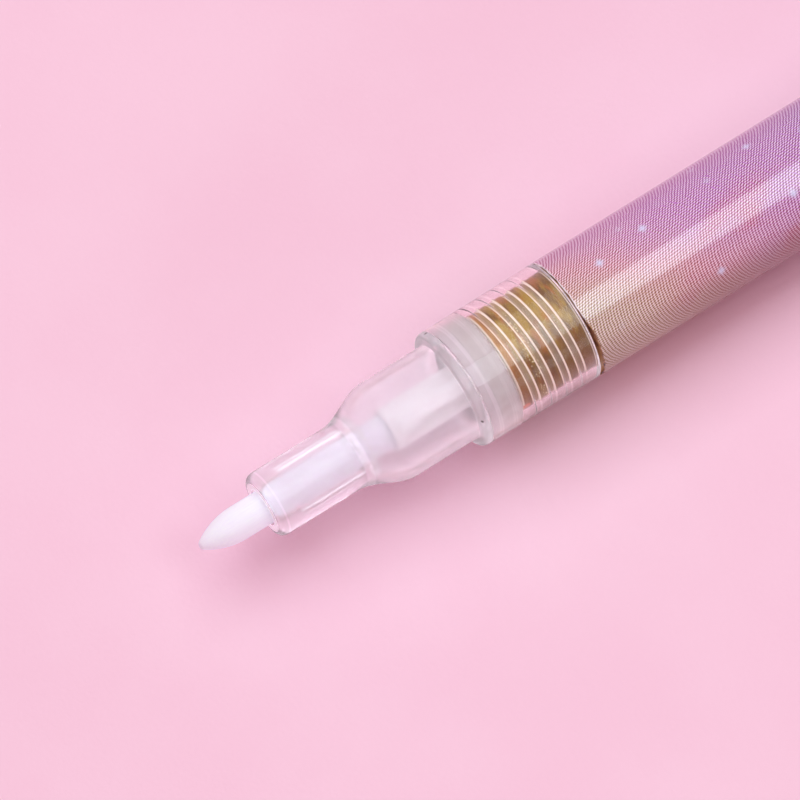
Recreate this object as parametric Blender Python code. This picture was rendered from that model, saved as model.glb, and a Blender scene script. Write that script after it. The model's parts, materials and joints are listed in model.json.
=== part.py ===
"""A valve-action paint marker for nails, lying on its side with its cap posted on the tail.

Lengths are metres and +Z is up. The pen's axis runs along X, and the nib points to -X.
A station is a distance along the axis, measured backwards from the tip of the nib.
An outline is a list of (station, radius) pairs, which is turned about the axis.
"""
import math

import bmesh
import bpy
from mathutils import Matrix, Vector

MM = 0.001

# Driving sizes: every piece
FACETS = 32                          # sides of each turned piece, one of them flat on the table
GAP = 0.05 * MM                      # left between faces that touch on the real pen
SHARP_ANGLE = math.radians(30)

# Driving sizes: nib
NIB_DIAMETER = 3.0 * MM
NIB_TAPER = 3.9 * MM                 # length of the pointed end
NIB_TIP_RADIUS = 0.5 * MM
NIB_REACH = 6.3 * MM                 # how far the nib stands out of the nose
NIB_GRIP = 2.4 * MM                  # how deep the nib sits in the plunger
NIB_PLAY = 0.06 * MM                 # running clearance in the nose, on the radius

# Driving sizes: clear front section
NOSE_DIAMETER = 5.95 * MM
NOSE_LENGTH = 7.7 * MM
NOSE_EDGE_RADIUS = 0.8 * MM
NOSE_BORE_CHAMFER = 0.15 * MM
NOSE_LIP_LENGTH = 2.3 * MM           # bore that guides the nib at the front
NOSE_RELIEF = 0.14 * MM              # extra radius of the bore between its two lands
NOSE_WEB = 2.3 * MM                  # how far the bore runs on under the cone
NOSE_REAR_LAND = 0.9 * MM
CONE_LENGTH = 4.9 * MM
CONE_STEPS = 7
CONE_LAG = 0.39 * MM                 # the cone's inner face runs this far behind its outer face
SEAT_LENGTH = 6.1 * MM               # plain length that the cap grips
SEAT_STEP = 0.975 * MM               # from the barrel's radius down to the cap seat
FRONT_WALL = 0.78 * MM
FLANGE_THICKNESS = 1.0 * MM
FLANGE_EDGE_RADIUS = 0.65 * MM
COLLAR_LENGTH = 11.6 * MM            # from the flange's front face to the collar's rear rim
COLLAR_WALL = 0.85 * MM
COLLAR_DRAFT = 0.05 * MM             # the collar is this much slimmer in radius at the flange
COLLAR_TO_BARREL = 0.3 * MM

# Driving sizes: barrel, label and paint
BARREL_DIAMETER = 11.0 * MM          # over the label
BARREL_LENGTH = 85.1 * MM            # behind the threaded neck
BARREL_WALL = 1.0 * MM
BARREL_SHOULDER = 1.2 * MM
NECK_CLEARANCE = 0.1 * MM            # between the neck and the collar, on the radius
NECK_CHAMFER = 0.2 * MM
LABEL_THICKNESS = 0.12 * MM
PAINT_THICKNESS = 0.3 * MM

# Driving sizes: valve
SEAL_THICKNESS = 1.0 * MM
SEAL_WIDTH = 0.75 * MM
SEAT_RING_LENGTH = 1.3 * MM
SEAT_RING_WIDTH = 1.0 * MM           # from the seat ring's hole to its rim
SEAT_RING_PLAY = 0.15 * MM           # between the seat ring's hole and the plunger, on the radius
SEAT_CHAMFER = 0.45 * MM
VALVE_LIP = 0.45 * MM                # front wall that holds the seat ring
VALVE_FLANGE_THICKNESS = 2.0 * MM
VALVE_WALL = 0.5 * MM
VALVE_PLUG_LENGTH = 3.0 * MM         # part of the valve body that plugs the neck
VALVE_TUBE_LENGTH = 9.5 * MM         # behind the flange, with the plug
VALVE_TUBE_RELIEF = 0.15 * MM        # the tube is this much slimmer in radius than the plug
WINDOW_COUNT = 4
WINDOW_WIDTH = 1.4 * MM
WINDOW_LENGTH = 3.2 * MM
CAGE_PLUG_LENGTH = 2.0 * MM
CAGE_RIM_THICKNESS = 1.2 * MM
CAGE_POCKET_DEPTH = 2.3 * MM
CAGE_WALL = 0.7 * MM
CAGE_HOLE_DIAMETER = 1.6 * MM

# Driving sizes: plunger and spring
PLUNGER_LEAD = 0.3 * MM              # the plunger's rim stands this far ahead of the cap seat
CUP_WALL = 0.45 * MM                 # wall of the socket that holds the nib
CUP_FLOOR = 0.4 * MM
CUP_CHAMFER = 0.15 * MM
FLUTE_COUNT = 4
FLUTE_RADIUS = 0.8 * MM
FLUTE_DEPTH = 0.75 * MM
FLUTE_TURN = math.radians(30)        # turns the flutes about the axis
FLUTE_SIDES = 14
HEAD_OVERLAP = 0.55 * MM             # how far the valve head covers the seat ring, on the radius
HEAD_THICKNESS = 0.8 * MM
PILOT_DIAMETER = 2.4 * MM            # boss that centres the spring
PILOT_LENGTH = 1.6 * MM
PILOT_CHAMFER = 0.3 * MM
SPRING_WIRE = 0.36 * MM
SPRING_DIAMETER = 3.86 * MM          # outside the wire
SPRING_TURNS = 7
SPRING_STEPS = 10                    # points on each turn

# Driving sizes: mixing ball
BALL_DIAMETER = 4.8 * MM
BALL_DISTANCE = 20.0 * MM            # from the back of the valve to the middle of the ball
BALL_SEGMENTS = 24
BALL_RINGS = 16

# Driving sizes: tail plug and cap
PLUG_INSERT_LENGTH = 7.5 * MM
PLUG_BEAD_COUNT = 2
PLUG_BEAD_HEIGHT = 0.12 * MM
PLUG_BEAD_LENGTH = 1.0 * MM
PLUG_BEAD_RAMP = 0.3 * MM
PLUG_RING_LENGTH = 2.0 * MM
PLUG_WALL = 0.9 * MM
PLUG_EDGE_RADIUS = 0.6 * MM
SPIGOT_LENGTH = 9.9 * MM
SPIGOT_END_WALL = 1.2 * MM
CAP_FIT = 0.05 * MM                  # sliding clearance on the seat, on the radius
CAP_MOUTH_CHAMFER = 0.25 * MM
CAP_NIB_ROOM = 3.3 * MM              # from the nib's tip to the end of the cap's hollow
CAP_END_WALL = 1.5 * MM
CAP_DRAFT = 0.2 * MM                 # the cap is this much slimmer in radius at its closed end
CAP_STEP = 0.18 * MM                 # ledge that the inner seal is pushed up to
CAP_EDGE_RADIUS = 1.0 * MM
CAP_SEAL_OVERLAP = 3.7 * MM          # length of nose that the inner seal covers
CAP_SEAL_FLOOR = 0.8 * MM
CAP_SEAL_CHAMFER = 0.3 * MM

# Radii that follow: the shell from the barrel inwards
BARREL_RADIUS = BARREL_DIAMETER / 2
NOSE_RADIUS = NOSE_DIAMETER / 2
SEAT_RADIUS = BARREL_RADIUS - SEAT_STEP
CAVITY_RADIUS = SEAT_RADIUS - FRONT_WALL
COLLAR_BORE = BARREL_RADIUS - COLLAR_WALL
NECK_RADIUS = COLLAR_BORE - NECK_CLEARANCE
SHELL_RADIUS = BARREL_RADIUS - LABEL_THICKNESS - GAP
CHAMBER_RADIUS = SHELL_RADIUS - BARREL_WALL
PAINT_RADIUS = CHAMBER_RADIUS - GAP - PAINT_THICKNESS
INSERT_RADIUS = CHAMBER_RADIUS - GAP - PLUG_BEAD_HEIGHT
SPIGOT_BORE = INSERT_RADIUS - PLUG_WALL
CAP_BORE = SEAT_RADIUS + CAP_FIT

# Radii that follow: the valve from the nib outwards
NIB_RADIUS = NIB_DIAMETER / 2
LIP_RADIUS = NIB_RADIUS + NIB_PLAY
STEM_RADIUS = NIB_RADIUS + CUP_WALL
SEAT_HOLE = STEM_RADIUS + SEAT_RING_PLAY
SEAT_RING_RADIUS = SEAT_HOLE + SEAT_RING_WIDTH
HEAD_RADIUS = SEAT_HOLE + HEAD_OVERLAP
VALVE_BORE = SEAT_RING_RADIUS + GAP
VALVE_PLUG_RADIUS = VALVE_BORE + VALVE_WALL
VALVE_TUBE_RADIUS = VALVE_PLUG_RADIUS - VALVE_TUBE_RELIEF
NECK_BORE = VALVE_PLUG_RADIUS + GAP

# Stations that follow: front section and barrel
NOSE_FACE = NIB_REACH
CONE_START = NOSE_FACE + NOSE_LENGTH
CAVITY_FACE = CONE_START + NOSE_WEB
SEAT_START = CONE_START + CONE_LENGTH
FLANGE_FACE = SEAT_START + SEAT_LENGTH
SEAL_FACE = FLANGE_FACE + FLANGE_THICKNESS
COLLAR_END = FLANGE_FACE + COLLAR_LENGTH
BARREL_START = COLLAR_END + COLLAR_TO_BARREL
BARREL_END = BARREL_START + BARREL_LENGTH
CHAMBER_START = BARREL_START + BARREL_SHOULDER + CHAMBER_RADIUS - NECK_BORE

# Stations that follow: valve and plunger
VALVE_FACE = SEAL_FACE + GAP + SEAL_THICKNESS + GAP
VALVE_FLANGE_END = VALVE_FACE + VALVE_FLANGE_THICKNESS
VALVE_PLUG_END = VALVE_FLANGE_END + VALVE_PLUG_LENGTH
VALVE_END = VALVE_FLANGE_END + VALVE_TUBE_LENGTH
NECK_FACE = VALVE_FLANGE_END + GAP
CAGE_START = VALVE_END - CAGE_PLUG_LENGTH
CAGE_POCKET_END = CAGE_START + CAGE_POCKET_DEPTH
CAGE_END = VALVE_END + GAP + CAGE_RIM_THICKNESS
SEAT_RING_START = VALVE_FACE + VALVE_LIP + GAP
SEAT_RING_END = SEAT_RING_START + SEAT_RING_LENGTH
PLUNGER_FACE = SEAT_START - PLUNGER_LEAD
CUP_BOTTOM = PLUNGER_FACE + NIB_GRIP + GAP
HEAD_START = SEAT_RING_END - SEAT_CHAMFER - SEAT_RING_PLAY + GAP * math.sqrt(2)
HEAD_EDGE = HEAD_START + HEAD_RADIUS - STEM_RADIUS
HEAD_END = HEAD_EDGE + HEAD_THICKNESS

# Stations that follow: tail plug and cap
INSERT_START = BARREL_END + GAP - PLUG_INSERT_LENGTH
PLUG_RING_START = BARREL_END + GAP
PLUG_RING_END = PLUG_RING_START + PLUG_RING_LENGTH
SPIGOT_END = PLUG_RING_END + SPIGOT_LENGTH
CAP_START = PLUG_RING_END + GAP
CAP_SEAL_START = CAP_START + FLANGE_FACE - NOSE_FACE - CAP_SEAL_OVERLAP
CAP_HOLLOW_END = CAP_START + FLANGE_FACE + CAP_NIB_ROOM
CAP_END = CAP_HOLLOW_END + CAP_END_WALL

HALF_FACET = math.pi / FACETS
AXIS_HEIGHT = BARREL_RADIUS * math.cos(HALF_FACET)


# Helpers

def clear_scene():
    """Start from an empty scene."""
    for item in list(bpy.data.objects):
        bpy.data.objects.remove(item, do_unlink=True)


def finish(name, colour, roughness, metallic=0.0, alpha=1.0):
    """Make one Principled material."""
    material = bpy.data.materials.new(name)
    material.use_nodes = True
    shader = material.node_tree.nodes["Principled BSDF"]
    shader.inputs["Base Color"].default_value = (*colour, 1.0)
    shader.inputs["Roughness"].default_value = roughness
    shader.inputs["Metallic"].default_value = metallic
    shader.inputs["Alpha"].default_value = alpha
    return material


def on_axis(station):
    """World position of a station on the pen's axis."""
    return Vector((station - CAP_END / 2, 0.0, AXIS_HEIGHT))


def arc(station, radius, size, start, end, steps=4):
    """Points on a circle about a centre; angles are in degrees, 0 to the rear and 90 outwards."""
    points = []
    for step in range(steps + 1):
        angle = math.radians(start + (end - start) * step / steps)
        points.append((station + size * math.cos(angle), radius + size * math.sin(angle)))
    return points


def add_object(name, data, material, origin):
    """Link a mesh or curve to the scene, with its origin at a station on the axis."""
    data.materials.append(material)
    piece = bpy.data.objects.new(name, data)
    piece.location = on_axis(origin)
    bpy.context.collection.objects.link(piece)
    return piece


def mesh_from(name, shape):
    """Turn a bmesh into a smooth-shaded mesh with its sharp edges kept."""
    bmesh.ops.recalc_face_normals(shape, faces=shape.faces)
    mesh = bpy.data.meshes.new(name)
    shape.to_mesh(mesh)
    shape.free()
    mesh.shade_smooth()
    mesh.set_sharp_from_angle(angle=SHARP_ANGLE)
    return mesh


def turned(name, outline, material):
    """Turn a closed outline about the axis; a side that lies on the axis makes no face."""
    origin = outline[0][0]
    shape = bmesh.new()
    across = Vector((0.0, math.sin(HALF_FACET), -math.cos(HALF_FACET)))
    ring = [shape.verts.new(Vector((s - origin, 0.0, 0.0)) + across * r) for s, r in outline]
    edges = []
    for index, vertex in enumerate(ring):
        if outline[index - 1][1] > 0.0 or outline[index][1] > 0.0:
            edges.append(shape.edges.new((ring[index - 1], vertex)))
    bmesh.ops.spin(
        shape, geom=ring + edges, axis=(1, 0, 0), cent=(0, 0, 0),
        angle=2 * math.pi, steps=FACETS, use_merge=True,
    )
    bmesh.ops.remove_doubles(shape, verts=shape.verts, dist=0.001 * MM)
    return add_object(name, mesh_from(name, shape), material, origin)


def sleeve(name, start, end, inner, outer, material):
    """A plain tube between two stations."""
    outline = [(start, inner), (start, outer), (end, outer), (end, inner)]
    return turned(name, outline, material)


def cut(piece, cutter):
    """Cut one piece with a hidden cutter."""
    cutter.hide_render = True
    cutter.display_type = "WIRE"
    modifier = piece.modifiers.new("cut", "BOOLEAN")
    modifier.operation = "DIFFERENCE"
    modifier.solver = "EXACT"
    modifier.object = cutter


def carry(name, station, pieces):
    """Parent pieces that move together to an empty on the pen's axis."""
    empty = bpy.data.objects.new(name, None)
    empty.location = on_axis(station)
    bpy.context.collection.objects.link(empty)
    for piece in pieces:
        piece.parent = empty
        piece.matrix_parent_inverse = Matrix.Translation(-empty.location)


def cone_radius(station):
    """Outer radius of the front section's S-shaped cone."""
    share = min(max((station - CONE_START) / CONE_LENGTH, 0.0), 1.0)
    return NOSE_RADIUS + (SEAT_RADIUS - NOSE_RADIUS) * share * share * (3 - 2 * share)


# Pieces that move with the nib

def make_nib(material):
    """Pressed fibre nib: a round tip that runs smoothly into an ogive, and a plain rod behind it."""
    taper = NIB_TAPER - NIB_TIP_RADIUS
    slimming = NIB_RADIUS - NIB_TIP_RADIUS
    sweep = (taper ** 2 + NIB_RADIUS ** 2 - NIB_TIP_RADIUS ** 2) / (2 * slimming)
    centre = NIB_RADIUS - sweep
    meeting = math.degrees(math.atan2(-centre, -taper))
    rear = PLUNGER_FACE + NIB_GRIP
    outline = arc(NIB_TIP_RADIUS, 0.0, NIB_TIP_RADIUS, 180, meeting, steps=3)
    outline[0] = (0.0, 0.0)
    outline += arc(NIB_TAPER, centre, sweep, meeting, 90, steps=7)[1:]
    outline += [(rear, NIB_RADIUS), (rear, 0.0)]
    return turned("nib", outline, material)


def make_plunger(material):
    """Fluted stem with a socket for the nib, a conical valve head and a pilot for the spring."""
    pilot_radius = PILOT_DIAMETER / 2
    pilot_end = HEAD_END + PILOT_LENGTH
    outline = [
        (CUP_BOTTOM, 0.0),
        (CUP_BOTTOM, NIB_RADIUS + GAP),
        (PLUNGER_FACE, NIB_RADIUS + GAP),
        (PLUNGER_FACE, STEM_RADIUS - CUP_CHAMFER),
        (PLUNGER_FACE + CUP_CHAMFER, STEM_RADIUS),
        (HEAD_START, STEM_RADIUS),
        (HEAD_EDGE, HEAD_RADIUS),
        (HEAD_END, HEAD_RADIUS),
        (HEAD_END, pilot_radius),
        (pilot_end - PILOT_CHAMFER, pilot_radius),
        (pilot_end, pilot_radius - PILOT_CHAMFER),
        (pilot_end, 0.0),
    ]
    plunger = turned("valve_plunger", outline, material)
    cut(plunger, make_flute_cutter(material, CUP_BOTTOM + CUP_FLOOR, HEAD_START - GAP))
    return plunger


def make_flute_cutter(material, start, end):
    """Round rods laid along the stem, whose inner sides leave the flutes that paint runs through."""
    shape = bmesh.new()
    distance = STEM_RADIUS + FLUTE_RADIUS - FLUTE_DEPTH
    along_axis = Matrix.Rotation(math.radians(90), 4, "Y")
    for flute in range(FLUTE_COUNT):
        angle = FLUTE_TURN + 2 * math.pi * flute / FLUTE_COUNT
        middle = Vector(((end - start) / 2, distance * math.sin(angle), -distance * math.cos(angle)))
        bmesh.ops.create_cone(
            shape, cap_ends=True, segments=FLUTE_SIDES, radius1=FLUTE_RADIUS, radius2=FLUTE_RADIUS,
            depth=end - start, matrix=Matrix.Translation(middle) @ along_axis,
        )
    return add_object("flute_cutter", mesh_from("flute_cutter", shape), material, start)


# Front section and valve

def make_front_section(material):
    """Clear moulding: nose, S-shaped cone, cap seat, flange and the collar that screws on the neck."""
    relief_start = NOSE_FACE + NOSE_LIP_LENGTH
    relief_end = CAVITY_FACE - NOSE_REAR_LAND
    relief_radius = LIP_RADIUS + NOSE_RELIEF
    flange_radius = BARREL_RADIUS - COLLAR_DRAFT
    outline = [(NOSE_FACE, LIP_RADIUS + NOSE_BORE_CHAMFER)]
    outline += arc(
        NOSE_FACE + NOSE_EDGE_RADIUS, NOSE_RADIUS - NOSE_EDGE_RADIUS, NOSE_EDGE_RADIUS, 180, 90)
    for step in range(CONE_STEPS + 1):
        station = CONE_START + CONE_LENGTH * step / CONE_STEPS
        outline.append((station, cone_radius(station)))
    outline.append((FLANGE_FACE, SEAT_RADIUS))
    outline += arc(
        FLANGE_FACE + FLANGE_EDGE_RADIUS, flange_radius - FLANGE_EDGE_RADIUS, FLANGE_EDGE_RADIUS, 180, 90)
    outline += [(COLLAR_END, BARREL_RADIUS), (COLLAR_END, COLLAR_BORE)]
    outline += [(SEAL_FACE, COLLAR_BORE), (SEAL_FACE, CAVITY_RADIUS)]
    for step in range(CONE_STEPS, -1, -1):
        station = CAVITY_FACE + (SEAT_START - CAVITY_FACE) * step / CONE_STEPS
        outline.append((station + CONE_LAG, cone_radius(station) - FRONT_WALL))
    outline += [
        (CAVITY_FACE, cone_radius(CAVITY_FACE) - FRONT_WALL - CONE_LAG),
        (CAVITY_FACE, LIP_RADIUS),
        (relief_end, LIP_RADIUS),
        (relief_end - NOSE_RELIEF, relief_radius),
        (relief_start + NOSE_RELIEF, relief_radius),
        (relief_start, LIP_RADIUS),
        (NOSE_FACE + NOSE_BORE_CHAMFER, LIP_RADIUS),
    ]
    return turned("front_section", outline, material)


def make_seal_ring(material):
    """Flat gasket under the flange, squeezed when the front section is screwed on."""
    start = SEAL_FACE + GAP
    outer = COLLAR_BORE - GAP
    return sleeve("seal_ring", start, start + SEAL_THICKNESS, outer - SEAL_WIDTH, outer, material)


def make_valve_body(material):
    """Guide tube of the valve: a flange clamped on the neck, a plug in it, and inlet windows."""
    flange_radius = COLLAR_BORE - GAP
    outline = [
        (VALVE_FACE, SEAT_HOLE),
        (VALVE_FACE, flange_radius),
        (VALVE_FLANGE_END, flange_radius),
        (VALVE_FLANGE_END, VALVE_PLUG_RADIUS),
        (VALVE_PLUG_END, VALVE_PLUG_RADIUS),
        (VALVE_PLUG_END + VALVE_TUBE_RELIEF, VALVE_TUBE_RADIUS),
        (VALVE_END, VALVE_TUBE_RADIUS),
        (VALVE_END, VALVE_BORE),
        (VALVE_FACE + VALVE_LIP, VALVE_BORE),
        (VALVE_FACE + VALVE_LIP, SEAT_HOLE),
    ]
    body = turned("valve_body", outline, material)
    cut(body, make_window_cutter(material, (VALVE_PLUG_END + CAGE_START) / 2))
    return body


def make_window_cutter(material, middle):
    """Blocks set round the valve body where paint flows in."""
    shape = bmesh.new()
    reach = 2 * VALVE_WALL
    distance = (VALVE_TUBE_RADIUS + VALVE_BORE) / 2
    size = Matrix.Diagonal((WINDOW_LENGTH, WINDOW_WIDTH, reach, 1.0))
    for window in range(WINDOW_COUNT):
        turn = Matrix.Rotation(2 * math.pi * window / WINDOW_COUNT, 4, "X")
        lift = Matrix.Translation((0.0, 0.0, distance))
        bmesh.ops.create_cube(shape, size=1.0, matrix=turn @ lift @ size)
    return add_object("window_cutter", mesh_from("window_cutter", shape), material, middle)


def make_valve_seat(material):
    """Soft ring that the plunger's conical head closes on."""
    outline = [
        (SEAT_RING_START, SEAT_HOLE),
        (SEAT_RING_START, SEAT_RING_RADIUS),
        (SEAT_RING_END, SEAT_RING_RADIUS),
        (SEAT_RING_END, SEAT_HOLE + SEAT_CHAMFER),
        (SEAT_RING_END - SEAT_CHAMFER, SEAT_HOLE),
    ]
    return turned("valve_seat", outline, material)


def make_spring_cage(material):
    """Cup that closes the valve's rear end and holds the spring, with an inlet hole."""
    plug_radius = VALVE_BORE - GAP
    pocket_radius = plug_radius - CAGE_WALL
    hole_radius = CAGE_HOLE_DIAMETER / 2
    outline = [
        (CAGE_START, pocket_radius),
        (CAGE_START, plug_radius),
        (VALVE_END + GAP, plug_radius),
        (VALVE_END + GAP, VALVE_TUBE_RADIUS),
        (CAGE_END, VALVE_TUBE_RADIUS),
        (CAGE_END, hole_radius),
        (CAGE_POCKET_END, hole_radius),
        (CAGE_POCKET_END, pocket_radius),
    ]
    return turned("spring_cage", outline, material)


def make_spring(material):
    """Round-wire compression spring, as one open helix from the valve head to the cage's floor."""
    coil = (SPRING_DIAMETER - SPRING_WIRE) / 2
    length = CAGE_POCKET_END - HEAD_END - 2 * GAP - SPRING_WIRE
    count = SPRING_TURNS * SPRING_STEPS + 1
    curve = bpy.data.curves.new("valve_spring", "CURVE")
    curve.dimensions = "3D"
    curve.bevel_depth = SPRING_WIRE / 2
    curve.bevel_resolution = 1
    curve.use_fill_caps = True
    spline = curve.splines.new("POLY")
    spline.points.add(count - 1)
    points = []
    for index in range(count):
        angle = 2 * math.pi * index / SPRING_STEPS
        along = length * index / (count - 1)
        point = Vector((along, coil * math.sin(angle), -coil * math.cos(angle)))
        spline.points[index].co = (*point, 1.0)
        points.append(point)
    apart = min(
        (points[first] - points[other]).length
        for first in range(count) for other in range(first + SPRING_STEPS // 2, count))
    print(f"valve_spring: least gap to itself {(apart - SPRING_WIRE) / MM:.2f} mm")
    return add_object("valve_spring", curve, material, HEAD_END + GAP + SPRING_WIRE / 2)


# Barrel and what it holds

def make_barrel(material):
    """Bottle with its plain neck, square shoulder and open rear end."""
    outline = [
        (NECK_FACE, NECK_BORE),
        (NECK_FACE, NECK_RADIUS - NECK_CHAMFER),
        (NECK_FACE + NECK_CHAMFER, NECK_RADIUS),
        (BARREL_START, NECK_RADIUS),
        (BARREL_START, SHELL_RADIUS),
        (BARREL_END, SHELL_RADIUS),
        (BARREL_END, CHAMBER_RADIUS),
        (CHAMBER_START, CHAMBER_RADIUS),
        (BARREL_START + BARREL_SHOULDER, NECK_BORE),
    ]
    return turned("barrel", outline, material)


def make_label(material):
    """Printed film wrapped round the barrel."""
    return sleeve("label", BARREL_START, BARREL_END, SHELL_RADIUS + GAP, BARREL_RADIUS, material)


def make_paint_lining(material):
    """Paint, as the coat that it leaves on the chamber's wall behind the valve."""
    return sleeve(
        "paint_lining", CAGE_END + GAP, INSERT_START - GAP, PAINT_RADIUS, CHAMBER_RADIUS - GAP, material)


def make_mixing_ball(material):
    """Steel ball, lying on the paint at the bottom of the chamber."""
    radius = BALL_DIAMETER / 2
    drop = PAINT_RADIUS * math.cos(HALF_FACET) - radius - GAP
    shape = bmesh.new()
    bmesh.ops.create_uvsphere(
        shape, u_segments=BALL_SEGMENTS, v_segments=BALL_RINGS, radius=radius,
        matrix=Matrix.Translation((0.0, 0.0, -drop)))
    mesh = mesh_from("mixing_ball", shape)
    return add_object("mixing_ball", mesh, material, CAGE_END + BALL_DISTANCE)


def make_tail_plug(material):
    """Plug with sealing beads in the barrel, a flush ring, and a spigot that the cap posts on."""
    bead_radius = INSERT_RADIUS + PLUG_BEAD_HEIGHT
    plain = (PLUG_INSERT_LENGTH - PLUG_BEAD_COUNT * PLUG_BEAD_LENGTH) / (PLUG_BEAD_COUNT + 1)
    outline = [(INSERT_START, SPIGOT_BORE), (INSERT_START, INSERT_RADIUS)]
    for bead in range(PLUG_BEAD_COUNT):
        start = INSERT_START + plain + bead * (plain + PLUG_BEAD_LENGTH)
        end = start + PLUG_BEAD_LENGTH
        outline += [
            (start, INSERT_RADIUS),
            (start + PLUG_BEAD_RAMP, bead_radius),
            (end - PLUG_BEAD_RAMP, bead_radius),
            (end, INSERT_RADIUS),
        ]
    outline += [
        (PLUG_RING_START, INSERT_RADIUS),
        (PLUG_RING_START, BARREL_RADIUS),
        (PLUG_RING_END, BARREL_RADIUS),
        (PLUG_RING_END, SEAT_RADIUS),
    ]
    outline += arc(
        SPIGOT_END - PLUG_EDGE_RADIUS, SEAT_RADIUS - PLUG_EDGE_RADIUS, PLUG_EDGE_RADIUS, 90, 0)
    outline += [
        (SPIGOT_END, 0.0),
        (SPIGOT_END - SPIGOT_END_WALL, 0.0),
        (SPIGOT_END - SPIGOT_END_WALL, SPIGOT_BORE),
    ]
    return turned("tail_plug", outline, material)


# Cap

def make_cap_shell(material):
    """Cap with a plain bore for the seat, a ledge for the inner seal, and a rounded closed end."""
    end_radius = BARREL_RADIUS - CAP_DRAFT
    outline = [
        (CAP_START, CAP_BORE + CAP_MOUTH_CHAMFER),
        (CAP_START, BARREL_RADIUS - CAP_MOUTH_CHAMFER),
        (CAP_START + CAP_MOUTH_CHAMFER, BARREL_RADIUS),
    ]
    outline += arc(CAP_END - CAP_EDGE_RADIUS, end_radius - CAP_EDGE_RADIUS, CAP_EDGE_RADIUS, 90, 0)
    outline += [
        (CAP_END, 0.0),
        (CAP_HOLLOW_END, 0.0),
        (CAP_HOLLOW_END, CAP_BORE - CAP_STEP),
        (CAP_SEAL_START, CAP_BORE - CAP_STEP),
        (CAP_SEAL_START - CAP_STEP, CAP_BORE),
        (CAP_START + CAP_MOUTH_CHAMFER, CAP_BORE),
    ]
    return turned("cap_shell", outline, material)


def make_cap_seal(material):
    """Soft cup in the cap that closes round the nose and keeps the nib wet."""
    start = CAP_SEAL_START + GAP
    floor_end = CAP_HOLLOW_END - GAP
    outer = CAP_BORE - CAP_STEP - GAP
    inner = NOSE_RADIUS + CAP_FIT
    outline = [
        (start + CAP_SEAL_CHAMFER, inner),
        (start, inner + CAP_SEAL_CHAMFER),
        (start, outer),
        (floor_end, outer),
        (floor_end, 0.0),
        (floor_end - CAP_SEAL_FLOOR, 0.0),
        (floor_end - CAP_SEAL_FLOOR, inner),
    ]
    return turned("cap_inner_seal", outline, material)


def main():
    clear_scene()
    clear_plastic = finish("clear_plastic", (0.90, 0.88, 0.90), 0.15, alpha=0.45)
    natural_plastic = finish("natural_plastic", (0.86, 0.85, 0.84), 0.35)
    fibre = finish("pressed_fibre", (0.93, 0.91, 0.93), 0.85)
    rubber = finish("seal_rubber", (0.74, 0.72, 0.70), 0.60)
    spring_steel = finish("spring_steel", (0.62, 0.62, 0.63), 0.30, metallic=1.0)
    ball_steel = finish("ball_steel", (0.70, 0.70, 0.71), 0.15, metallic=1.0)
    gold_paint = finish("gold_paint", (0.52, 0.36, 0.13), 0.35, metallic=0.6)
    film = finish("printed_film", (0.72, 0.42, 0.58), 0.30)
    gold_plastic = finish("gold_plastic", (0.66, 0.48, 0.20), 0.30, metallic=0.4)

    carry("nib_axis", PLUNGER_FACE, [make_nib(fibre), make_plunger(natural_plastic)])

    make_front_section(clear_plastic)
    make_seal_ring(rubber)
    make_valve_body(natural_plastic)
    make_valve_seat(rubber)
    make_spring_cage(natural_plastic)
    make_spring(spring_steel)

    make_barrel(natural_plastic)
    make_label(film)
    make_paint_lining(gold_paint)
    make_tail_plug(gold_plastic)
    carry("ball_axis", CAGE_END, [make_mixing_ball(ball_steel)])

    carry("cap_axis", CAP_START, [make_cap_shell(gold_plastic), make_cap_seal(natural_plastic)])


main()
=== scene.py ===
# %% [markdown]
# # Nail art pen
# This pen is a small valve-action paint marker. A white fibre nib stands out of a clear nose, the clear
# front screws on a barrel wrapped in printed film, and the cap is posted on the tail. The CAD model
# already says where each piece is, so a scene could be built with no numbers of its own. Here the frame is
# loaded first, and every length along the pen is measured from it, so nothing has to be fitted by eye.

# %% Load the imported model
import json
import math

import bpy
from mathutils import Matrix, Vector


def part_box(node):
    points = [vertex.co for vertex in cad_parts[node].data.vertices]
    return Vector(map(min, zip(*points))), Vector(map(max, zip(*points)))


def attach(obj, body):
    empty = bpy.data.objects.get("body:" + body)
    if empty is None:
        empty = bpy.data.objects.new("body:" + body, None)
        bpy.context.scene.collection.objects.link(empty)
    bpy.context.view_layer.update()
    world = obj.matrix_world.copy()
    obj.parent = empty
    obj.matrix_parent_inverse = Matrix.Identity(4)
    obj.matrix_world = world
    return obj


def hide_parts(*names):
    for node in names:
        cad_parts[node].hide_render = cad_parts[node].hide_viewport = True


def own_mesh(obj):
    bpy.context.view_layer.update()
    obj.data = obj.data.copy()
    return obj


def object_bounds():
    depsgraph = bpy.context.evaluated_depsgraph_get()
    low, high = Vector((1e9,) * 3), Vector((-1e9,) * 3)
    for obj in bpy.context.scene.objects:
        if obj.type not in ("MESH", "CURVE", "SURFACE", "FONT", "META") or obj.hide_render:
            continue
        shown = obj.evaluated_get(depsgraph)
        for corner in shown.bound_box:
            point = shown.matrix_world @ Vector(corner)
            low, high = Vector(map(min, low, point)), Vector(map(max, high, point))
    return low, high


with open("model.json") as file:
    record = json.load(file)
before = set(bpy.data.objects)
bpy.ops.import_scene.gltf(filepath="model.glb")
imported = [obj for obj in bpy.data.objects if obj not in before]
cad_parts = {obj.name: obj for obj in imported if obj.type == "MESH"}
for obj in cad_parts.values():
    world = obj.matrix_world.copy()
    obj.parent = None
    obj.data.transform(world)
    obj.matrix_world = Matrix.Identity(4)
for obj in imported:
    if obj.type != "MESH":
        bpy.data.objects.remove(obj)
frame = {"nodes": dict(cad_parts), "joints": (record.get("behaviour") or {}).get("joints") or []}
cad_low, cad_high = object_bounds()
print("nodes:", ", ".join(sorted(frame["nodes"])))

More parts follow.
